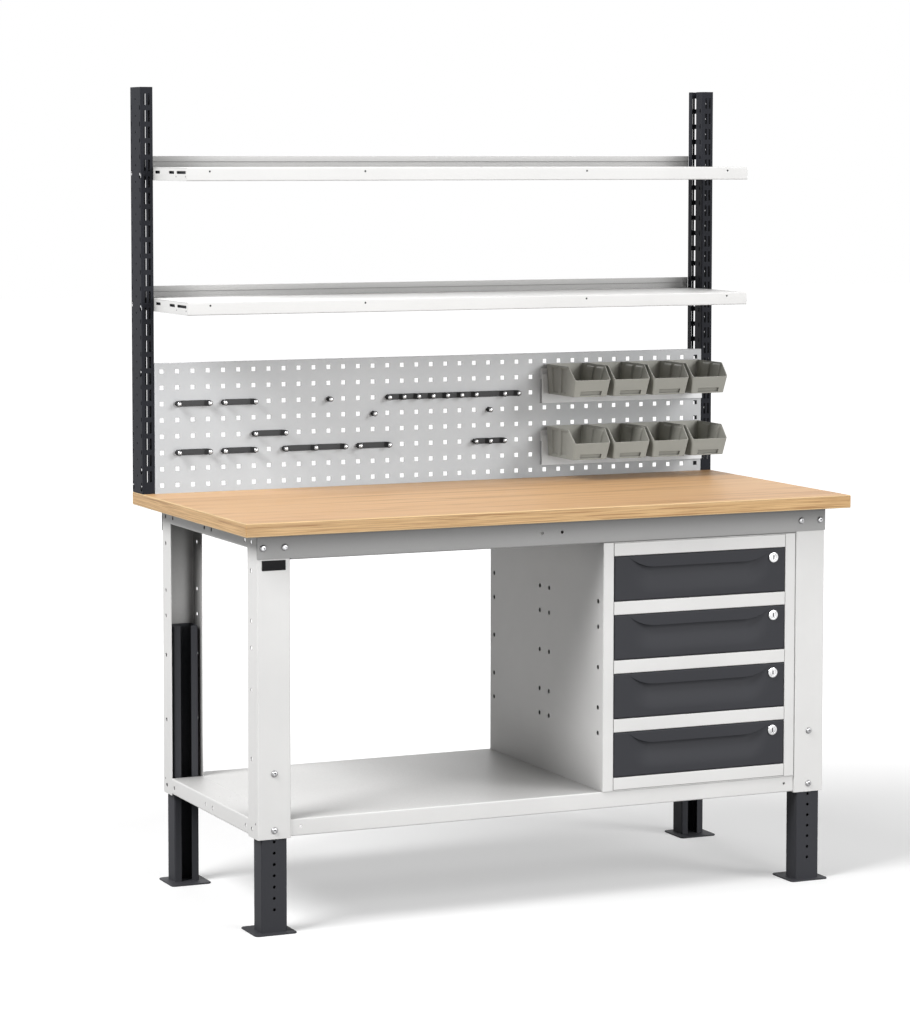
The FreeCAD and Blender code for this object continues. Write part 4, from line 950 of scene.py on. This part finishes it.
# Height of the grip's lower edge: level in the middle, an arc up to the top at each end.
def gripEdge(x, look, top):
    radius = (look["curve"] ** 2 + look["drop"] ** 2) / (2 * look["drop"])
    past = np.clip(np.abs(x) - (look["gripHalf"] - look["curve"]), 0, look["curve"])
    return top - look["drop"] + radius - np.sqrt(radius ** 2 - past ** 2)


# Front sheet: flat, and pressed in below the grip by depth(x) * (1 - b)^2 * (1 + 2b), where b is the distance
# below the grip's edge as a share of the reach. depth(x) is pressed * s^2 * (3 - 2s), and s runs to 0 at the
# grip's ends.
def drawerPlate(look):
    top, edge = look["height"], look["edge"]
    half = look["half"] - edge
    ends = np.linspace(look["gripHalf"], half, 5)[1:]
    inner = np.linspace(-look["gripHalf"], look["gripHalf"], 97)
    x = np.r_[-ends[::-1], inner, ends]
    lip = np.minimum(gripEdge(x, look, top), top - edge - 0.3)
    rows = np.linspace(0, 1, 29) ** 0.8
    z = edge + rows[:, None] * (lip - edge)
    share = np.clip((look["gripHalf"] - np.abs(x)) / (look["curve"] * 0.9), 0, 1)
    deep = look["pressed"] * share ** 2 * (3 - 2 * share)
    below = np.clip((lip - z) / look["reach"], 0, 1)
    y = deep * (1 - below) ** 2 * (1 + 2 * below)
    z = np.vstack([z, np.full(len(x), top - edge)])
    y = np.vstack([y, deep])
    points = np.stack([np.broadcast_to(x, z.shape), y + look["sheet"] / 2, z], 2)
    return gridFaces(points)


# Lip of the grip: the flat sheet between the grip's edge and the top fold.
def gripLip(look):
    x = np.linspace(-look["gripHalf"] + 1, look["gripHalf"] - 1, 97)
    low = np.minimum(gripEdge(x, look, look["height"]), look["height"] - look["edge"] - 0.2)
    rows = np.linspace(0, 1, 3)[:, None]
    z = low + rows * (look["height"] - look["edge"] - low)
    points = np.stack([np.broadcast_to(x, z.shape), np.full(z.shape, look["sheet"] / 2), z], 2)
    return gridFaces(points)


# The folded rim round the front: a quarter turn back, the depth, and a flange turned in at the rear.
def drawerRim(look):
    sheet, edge, depth = look["sheet"], look["edge"], look["depth"]
    turn = np.linspace(0, pi / 2, 5)
    outer = [(edge - edge * sin(a), edge - edge * cos(a)) for a in turn]
    inside = edge - sheet
    inner = [(edge - inside * sin(a), edge - inside * cos(a)) for a in turn[::-1]]
    flange = look["flange"]
    rear = [(0, depth - 0.8), (0.8, depth), (flange, depth), (flange, depth - sheet), (sheet, depth - sheet)]
    section = outer + rear + inner
    rim = framed(section, 2 * look["half"], look["height"], look["corner"], 4)
    return laid(rim, (0, 0, look["height"] / 2), toRight, toTop, toBack)


# A lock's head with an upright key slot, its barrel through the front, and the cam behind.
def lockShape(look):
    radius, height, plug = look["radius"], look["height"], look["plug"]
    slot = rectangleReach(look["keyWidth"], look["keyHeight"], 48)
    ring = [(radius - 0.2, 0), (radius, 0.4), (radius, height - 1.0), (radius - 0.3, height - 0.45),
            (radius - 1.0, height - 0.1), (radius - 2.0, height), (plug + 0.35, height),
            (plug + 0.2, height - 0.35)]
    core = [(plug, height - 0.35), (plug - 0.3, height - 0.1), (slot + 0.45, height - 0.1), (slot, height - 0.4),
            (slot * 0.96, height - 2.0), (0.2, height - 2.1)]
    head = turned(ring + core, 48, (0, -1, 0))
    barrel = turned([(look["barrel"], 0), (look["barrel"], -look["barrelLength"])], 24, (0, -1, 0))
    return [head, barrel, block(*look["cam"])]


for number in (1, 2, 3, 4):
    look = drawerLook
    base = look["firstBase"] + (4 - number) * look["pitch"]
    place = (cabinetLook["middle"], frameFace[1], base)
    sheets = [moved(shape, place) for shape in (drawerPlate(look), gripLip(look))]
    rim = moved(drawerRim(look), place)
    addPiece(f"drawerFace_{number}", f"drawer_{number}", "dark_paint", sheets, [rim],
             [f"drawer_front_{number}"], look["sheet"])
    place = (place[0] + look["lockPlace"], place[1], base + look["lockRise"])
    lock = f"lock_{number}"
    shapes = [moved(shape, place) for shape in lockShape(lockLook)]
    addPiece(f"lockFace_{number}", lock, "bright_metal", solids=shapes, stands=[lock], edge=0, smooth=40)
    # a black block at the bottom of the key slot: painted shade for the depth of the keyway
    keywayShade = moved(block(*lockLook["keywayShade"]), place)
    addPiece(f"keyway_{number}", lock, "bright_metal", solids=[keywayShade], edge=0, material=finish["clip_plastic"])
    easedCopy(f"drawer_box_{number}", f"drawer_{number}", "light_paint", 0.25)
    easedCopy(f"middle_runners_{number}", f"runner_{number}", "zinc_steel", 0.2)
print("cabinet and drawers done")


uprightLook = {
    "outer": 750, "front": 300, "low": 908, "high": 1851, "pitch": 38, "first": 1822.4, "rows": 24,
    "flange": 29, "web": (1, 74), "frontLip": 34.5, "backLip": 56, "bend": 2.2,
    "slot": (5, 26.4), "slotCorner": 1.2, "slotPlaces": (10, 20), "side": (5.5, 11), "sideCorner": 3,
    "sidePlaces": (8, 67), "dot": 5, "dotPlace": 38, "lipPlace": 13,
}


# A lipped channel, its web outwards: slots down both flanges, small slots and dots down its web and front lip.
def uprightChannel(side):
    look = uprightLook
    flange, (near, far) = look["flange"], look["web"]
    profile = [(flange, look["frontLip"]), (flange, near), (1, near),
               (1, far), (flange, far), (flange, look["backLip"])]
    openings = []
    for row in range(look["rows"]):
        height = look["first"] - row * look["pitch"]
        between = height - look["pitch"] / 2
        for place in look["slotPlaces"]:
            openings.append((1, flange - place, height, *look["slot"], look["slotCorner"]))
            openings.append((3, place - 1, height, *look["slot"], look["slotCorner"]))
        openings.append(roundHole(2, look["dotPlace"] - 1, height, look["dot"]))
        for place in look["sidePlaces"]:
            openings.append((2, place - 1, between, *look["side"], look["sideCorner"]))
        openings.append((0, look["frontLip"] - look["lipPlace"], between, *look["side"], look["sideCorner"]))
    length = look["high"] - look["low"]
    shape = foldedSheet(profile, length, look["bend"], openings, start=look["low"], roundness=3)
    return laid(shape, (side * look["outer"], look["front"], 0), (-side, 0, 0), toBack, toTop)


screwLook = {"radius": 7.2, "recess": (2.4, 2.2),
             "places": ((367, 1654), (367, 1349.5), (308, 1646), (308, 1340),
                        (310, 1187.7), (310, 960.5), (310, 920.5), (367, 920.5))}


# A sunk screw head flush with the upright's web: a shallow dish with a six-sided recess.
def sunkScrew(side, y, z):
    reach = screwLook["radius"]
    mouth, bottom = (hexagonReach(size) for size in screwLook["recess"])
    profile = [(2.6, -2.6), (reach, -0.4), (reach, -0.1), (reach - 0.7, 0.0),
               (mouth, 0.0), (bottom, -1.6), (0.4, -1.8)]
    return turned(profile, 24, (side, 0, 0), (side * uprightLook["outer"], y, z))


for hand, side in (("left", -1), ("right", 1)):
    addPiece("uprightChannel_" + hand, "bench", "dark_paint", [uprightChannel(side)],
             stands=["upright_" + hand], edge=0.2, material=finish["upright_paint"])
screws = [sunkScrew(side, y, z) for side in (-1, 1) for y, z in screwLook["places"]]
addPiece("uprightScrews", "bench", "bright_metal", solids=screws, edge=0, smooth=40)
easedCopy("upright_brackets", "bench", "zinc_steel", 0.3)

trayLook = {
    "reach": 719.25, "front": 71, "depth": 304, "lip": 30, "turn": 12, "upstand": 26, "hem": 13, "sheet": 1.5,
    "bend": 1.8, "overhang": 0.7, "levels": {"high": 1666, "low": 1363},
    "lipHoles": (-665, -285, 285, 665), "lipHoleDrop": 8.4, "lipHole": 4.5,
    "endSlots": ((199, 32, 6.5, -11), (102.5, 35, 6.5, -11), (37.5, 61, 6.5, -11)), "slotCorner": 2,
    "endHoles": ((72.5, -20.4), (9.5, -20.4)), "endHole": 4,
    "endGap": 0.8, "armGap": 5, "armHeight": 26, "armStart": 14, "armShort": 16,
    # side and gap of the dark plates that stand as painted shade behind the lip holes
    "shadePlate": 12, "shadePlateGap": 3.2,
}


# A deck with a lip turned down at the front and a hemmed upstand at the back, closed at each end by a plate with
# slots and holes.
def toolTray(level):
    look = trayLook
    half, depth, lip, over = look["sheet"] / 2, look["depth"], look["lip"], look["overhang"]
    profile = [(look["turn"], half - lip), (half, half - lip), (half, -half),
               (depth - half, -half), (depth - half, look["upstand"])]
    holes = [roundHole(1, lip - look["lipHoleDrop"] - half, x, look["lipHole"]) for x in look["lipHoles"]]
    shape = foldedSheet(profile, 2 * look["reach"] + 2 * over, look["bend"], holes, start=-look["reach"] - over)
    place = (0, look["front"], level)
    deck = laid(shape, place, toBack, toTop, toRight)
    hem = flatSheet(look["upstand"] - look["hem"], 2 * look["reach"])
    place = (-look["reach"], look["front"] + depth - 3 * half, level + look["hem"])
    hem = laid(hem, place, toTop, toBack, toRight)
    openings = [(0, lip + rise, y, high, wide, look["slotCorner"]) for y, wide, high, rise in look["endSlots"]]
    openings += [roundHole(0, lip + rise, y, look["endHole"]) for y, rise in look["endHoles"]]
    sheets = [deck, hem]
    for side in (-1, 1):
        plate = flatSheet(lip - look["sheet"], depth - 2 * look["endGap"], openings)
        place = (side * look["reach"], look["front"] + look["endGap"], level - lip)
        sheets.append(laid(plate, place, toTop, toRight, toBack))
    return sheets


# The arms that carry a tray, just inside its end plates, and a small plate behind each hole of its lip. Both are
# dark: the arms show as painted shade through the end plates' slots, and the small plates are painted shade
# behind the lip holes.
def trayArmsAndShadePlates(level):
    look = trayLook
    sheets = []
    for side in (-1, 1):
        arm = flatSheet(look["armHeight"], look["depth"] - look["armShort"])
        under = level - look["sheet"] - look["armHeight"]
        place = (side * (look["reach"] - look["armGap"]), look["front"] + look["armStart"], under)
        sheets.append(laid(arm, place, toTop, toRight, toBack))
    for x in look["lipHoles"]:
        size = look["shadePlate"]
        place = (x - size / 2, look["front"] + look["shadePlateGap"], level - look["lipHoleDrop"] - size / 2)
        sheets.append(laid(flatSheet(size, size), place, toTop, toBack, toRight))
    return sheets


for height, level in trayLook["levels"].items():
    addPiece("toolTray_" + height, "bench", "light_paint", toolTray(level), stands=["tool_shelf_" + height],
             thickness=trayLook["sheet"])
    # dark arms and plates: painted shade behind the tray's slots and holes
    addPiece("trayArmsAndShadePlates_" + height, "bench", "dark_paint", trayArmsAndShadePlates(level), thickness=trayLook["sheet"])
print("uprights and tool shelves done")


panelLook = {"reach": 719.25, "face": 298.5, "low": 908, "high": 1212, "fold": 20, "sheet": 1.5, "bend": 2.0,
             "pitch": 38, "columns": 38, "rows": 8, "top": 1193, "hole": 10}


# Where a hole of the panel is, from its middle and above the floor.
def holePlace(column, row):
    look = panelLook
    return (column - (look["columns"] - 1) / 2) * look["pitch"], look["top"] - row * look["pitch"]


# A sheet with a grid of square holes and its edges folded back all round.
def panelSheet():
    look = panelLook
    reach, fold, sheet = look["reach"], look["fold"], look["sheet"]
    places = [holePlace(column, row) for column in range(look["columns"]) for row in range(look["rows"])]
    holes = [(1, reach + x, z, look["hole"], look["hole"], 0) for x, z in places]
    profile = [(-reach, fold), (-reach, sheet / 2), (reach, sheet / 2), (reach, fold)]
    height = look["high"] - look["low"]
    shape = foldedSheet(profile, height, look["bend"], holes, start=look["low"], roundness=1)
    sheets = [laid(shape, (0, look["face"], 0), toRight, toBack, toTop)]
    for z in (look["low"] + sheet / 2, look["high"] - sheet / 2):
        strip = flatSheet(fold - sheet, 2 * reach - 2)
        sheets.append(laid(strip, (1 - reach, look["face"] + sheet, z), toBack, toTop, toRight))
    return sheets


addPiece("panelSheet", "bench", "light_paint", panelSheet(), stands=["perforated_panel"],
         thickness=panelLook["sheet"], edge=0, material=finish["panel"])
for node in ("bin_rail_high", "bin_rail_low"):
    easedCopy(node, "bench", "white_paint", 0.5)


binLook = {
    "centres": (335.5, 442.5, 549.5, 656.5), "back": 290.7, "lows": {"high": 1113.5, "low": 961.5},
    "base": 45, "rim": 50.25, "depth": 140.7, "lean": 0.375, "height": 73, "front": 40, "mouth": 34, "wall": 2.0,
    "corner": 3.5, "label": (28.5, 2.5, 13.5, 5.0), "flutes": ((40, 15), (84, 15)), "fluteDepth": 3.4,
    "fluteSlope": 1.6, "hook": ((1, 0), (-2.1, 0), (-2.1, -7), (-4.1, -7), (-4.1, 2), (1, 2)), "hookLow": 48.8,
    "hookReach": 30,
}


# Plan of a bin: a rectangle with round corners, as places across and back to front, run round once.
def binLoop(look):
    half = look["base"] - look["wall"] / 2
    deep = look["depth"] - look["wall"]
    radius = look["corner"]
    turn = np.linspace(0, pi / 2, 5)
    wide = look["label"][0]
    flat = np.array([-wide - 0.4, 0.4 - wide, 0, wide - 0.4, wide + 0.4])
    slope = look["fluteSlope"] / 2
    folds = [middle + sign * width + step * slope
             for middle, width in look["flutes"] for sign in (-1, 1) for step in (-1, 1)]
    side = np.sort(np.r_[folds, 14, 40, 62, 84, np.linspace(104, deep - radius, 14)[:-1]])
    across, along = radius * np.cos(turn), radius * np.sin(turn)
    x = [radius - half - across, flat, half - radius + along, np.full(len(side), half),
         half - radius + across, flat[::-1], radius - half - along, np.full(len(side), -half)]
    y = [deep - radius + along, np.full(len(flat), deep), deep - radius + across, side[::-1],
         radius - along, np.zeros(len(flat)), radius - across, side]
    return np.concatenate(x), np.concatenate(y)


# Walls: the loop carried up, growing with height, cut off level at the back and along a slope down to the low
# front. The sides are pressed in along the flutes, and the front at the label's place.
def binWalls(look):
    x0, y0 = binLoop(look)
    half = look["base"] - look["wall"] / 2
    deep = look["depth"] - look["wall"]
    share = y0 / deep
    wide, low, high, sunk = look["label"]
    first = look["wall"] / 2
    labelRows = [(z - first) / (look["front"] - first) for z in (low - 0.3, low + 0.3, high - 0.3, high + 0.3)]
    rows = np.sort(np.r_[0, 0.015, labelRows, 0.09, 0.13, np.linspace(0.2, 0.86, 10), 0.90, 0.94, 0.97, 1.0])
    reachFront = look["depth"] + look["lean"] * look["front"] - look["wall"] / 2
    top = np.full(len(x0), float(look["height"]))
    for step in range(6):
        y = y0 + share * look["lean"] * top
        slope = look["front"] + (look["height"] - look["front"]) * (reachFront - y) / look["mouth"]
        top = np.clip(slope, look["front"], look["height"])
    z = first + rows[:, None] * (top - first)
    x = x0 * (1 + (look["rim"] - look["base"]) / half * z / look["height"])
    y = y0 + share * look["lean"] * z
    flute = sum(np.clip((width - np.abs(y0 - middle)) / look["fluteSlope"] + 0.5, 0, 1)
                for middle, width in look["flutes"])
    fade = np.clip((top - 5 - z) / 2.5, 0, 1) * np.clip((z - 4) / 2.5, 0, 1)
    x = x - np.sign(x0) * (np.abs(x0) > half - 0.5) * flute * fade * look["fluteDepth"]
    label = (np.abs(x0) < wide) * (y0 > deep - 0.5) * (z > low) * (z < high)
    return np.stack([x, label * sunk - y, z], 2)


# The hook on the back: over the rail's lip and down behind it.
def binHook(look):
    outline = [(-y, look["hookLow"] + z) for y, z in look["hook"]]
    vertices, faces = extruded(outline, -look["hookReach"], look["hookReach"])
    return vertices[:, [2, 0, 1]], faces


# The walls with the floor that closes their lowest ring, and the hook.
def binShape(look):
    walls = binWalls(look)
    sheet, faces = gridFaces(walls, closeAlong=True)
    count = walls.shape[1]
    faces.append(list(range(count)))
    return (sheet, faces), binHook(look)


binSheet, hook = binShape(binLook)
for height, low in binLook["lows"].items():
    for index, centre in enumerate(binLook["centres"]):
        name = f"bin_{height}_{index + 1}"
        walls = moved(binSheet, (centre, binLook["back"] - binLook["wall"] / 2, low))
        onRail = moved(hook, (centre, binLook["back"], low))
        addPiece(name + "_tray", name, "bin_plastic", [walls], [onRail], [name], binLook["wall"], 0.5)
print("panel, rails and bins done")


# "heads" says which columns of the panel's holes have a peg, row by row
clipLook = {
    "heads": {2: (1, 3, 4, 6, 11, 15, 16, 17, 18, 19, 20, 21, 23, 24), 3: (14, 22), 4: (6, 8),
              5: (1, 3, 4, 6, 8, 10, 12, 13, 15, 21, 22, 23)},
    "face": 298.5, "reach": 16, "root": 6.2, "tip": 3.6, "collar": 6.4, "head": 5.2,
}


# A tapered peg with a collar near its end.
def clipPeg(x, z):
    reach, root, tip, collar = (clipLook[key] for key in ("reach", "root", "tip", "collar"))
    profile = [(root, 0), (root, 0.6), (root - 0.8, 1.2), (tip, reach - 3.4), (collar - 0.6, reach - 3.0),
               (collar, reach - 2.4), (collar, reach - 0.6), (collar - 0.5, reach), (1.5, reach + 0.2)]
    return turned(profile, 20, (0, -1, 0), (x, clipLook["face"], z))


# A domed head on the end of a peg.
def clipHead(x, z):
    size = clipLook["head"]
    rise = np.linspace(0, pi / 2 * 0.96, 7)
    profile = [(size - 0.3, -0.2), (size, 0.3)] + [(size * cos(a), 0.9 + 3.4 * sin(a)) for a in rise]
    return turned(profile, 20, (0, -1, 0), (x, clipLook["face"] - clipLook["reach"], z))


places = [holePlace(column, row) for row, columns in clipLook["heads"].items() for column in columns]
easedCopy("tool_clips", "bench", "clip_plastic", 0.5)
pegs, heads = [clipPeg(x, z) for x, z in places], [clipHead(x, z) for x, z in places]
addPiece("clipPegs", "bench", "clip_plastic", solids=pegs, edge=0, smooth=40)
addPiece("clipHeads", "bench", "bright_metal", solids=heads, stands=["clip_knobs"], edge=0, smooth=60)
print("tool clips done")


# angles in degrees; the focal length and the optical axis (across, down) in pixels of a picture of this size
cameraLook = {"place": (-3.2571, -7.0068, 1.7016), "yaw": 24.321, "pitch": 4.252, "roll": 0.045,
              "focal": 3327.44, "across": 455.0, "down": 399.49, "width": 910, "height": 1024, "sensor": 36.0}


# The photo's camera: the lens is focal * sensor / height, the shifts move the optical axis to its place.
def addCamera(look):
    yaw, pitch, roll = (radians(look[key]) for key in ("yaw", "pitch", "roll"))
    forward = Vector((sin(yaw) * cos(pitch), cos(yaw) * cos(pitch), -sin(pitch)))
    level = Vector((cos(yaw), -sin(yaw), 0))
    up = level.cross(forward)
    right = cos(roll) * level + sin(roll) * up
    top = cos(roll) * up - sin(roll) * level
    data = bpy.data.cameras.new("camera")
    data.sensor_fit = "VERTICAL"
    data.sensor_height = look["sensor"]
    data.lens = look["focal"] * look["sensor"] / look["height"]
    data.shift_x = (look["width"] / 2 - look["across"]) / look["height"]
    data.shift_y = (look["down"] - look["height"] / 2) / look["height"]
    data.clip_end = 100
    camera = bpy.data.objects.new("camera", data)
    turn = Matrix((right, top, -forward)).transposed().to_4x4()
    camera.matrix_world = Matrix.Translation(look["place"]) @ turn
    bpy.context.scene.collection.objects.link(camera)
    bpy.context.scene.camera = camera


# Soft square lamps: place, aim, side and power.
lamps = {
    "left": ((-6.6, -1.8, 6.9), (0.0, 0.0, 0.9), 3.9, 880),
    "right": ((6.3, -7.2, 5.4), (0.0, 0.0, 0.9), 3.9, 440),
    "front": ((1.8, -8.0, 1.7), (0.0, 0.0, 0.9), 2.4, 240),
    "rear": ((0.5, 4.4, 4.2), (0.0, 0.0, 1.0), 3.0, 60),
}


# A square lamp at its place, turned to its aim.
def addLamp(name, place, aim, size, power):
    data = bpy.data.lights.new(name, "AREA")
    data.shape = "SQUARE"
    data.size = size
    data.energy = power
    lamp = bpy.data.objects.new(name, data)
    lamp.location = place
    lamp.rotation_euler = (Vector(aim) - Vector(place)).to_track_quat("-Z", "Y").to_euler()
    bpy.context.scene.collection.objects.link(lamp)


floorLook = {"size": 30.0, "seen": 0.66, "bounce": 0.20, "rough": 0.9, "glow": 0.38, "near": 1.1, "far": 3.4,
             "world": 0.12}


# The floor and the world show white to the camera and to mirrors, while the light on the bench stays level.
def addRoom(look):
    material, tree, shader = newMaterial("pale floor")
    shader.inputs["Roughness"].default_value = look["rough"]
    shader.inputs["Specular IOR Level"].default_value = 0.0
    shader.inputs["Emission Color"].default_value = (1, 1, 1, 1)
    path = addNode(tree, "ShaderNodeLightPath")
    seen = reckon(tree, "MAXIMUM", path.outputs["Is Camera Ray"], path.outputs["Is Glossy Ray"])
    shade = remap(tree, path.outputs["Is Camera Ray"], 0, 1, look["bounce"], look["seen"])
    tree.links.new(mixColour(tree, shade, (0, 0, 0, 1), (1, 1, 1, 1)), shader.inputs["Base Color"])
    place = addNode(tree, "ShaderNodeTexCoord")
    away = addNode(tree, "ShaderNodeVectorMath", operation="LENGTH")
    tree.links.new(place.outputs["Object"], away.inputs[0])
    glow = remap(tree, away.outputs["Value"], look["near"], look["far"], look["glow"], 1.0)
    tree.links.new(times(tree, seen, glow), shader.inputs["Emission Strength"])
    size = look["size"]
    mesh = bpy.data.meshes.new("floor")
    corners = [(-size, -size, 0), (size, -size, 0), (size, size, 0), (-size, size, 0)]
    mesh.from_pydata(corners, [], [(0, 1, 2, 3)])
    mesh.materials.append(material)
    floor = bpy.data.objects.new("floor", mesh)
    bpy.context.scene.collection.objects.link(floor)
    world = bpy.data.worlds.new("studio")
    bpy.context.scene.world = world
    world.use_nodes = True
    tree = world.node_tree
    background = tree.nodes["Background"]
    background.inputs["Color"].default_value = (1, 1, 1, 1)
    path = addNode(tree, "ShaderNodeLightPath")
    seen = reckon(tree, "MAXIMUM", path.outputs["Is Camera Ray"], path.outputs["Is Glossy Ray"])
    seen = reckon(tree, "MAXIMUM", seen, path.outputs["Is Transmission Ray"])
    tree.links.new(remap(tree, seen, 0, 1, look["world"], 1.0), background.inputs["Strength"])


addCamera(cameraLook)
for name, values in lamps.items():
    addLamp(name, *values)
addRoom(floorLook)
bpy.context.scene.view_settings.view_transform = "Standard"

print("all pieces placed")
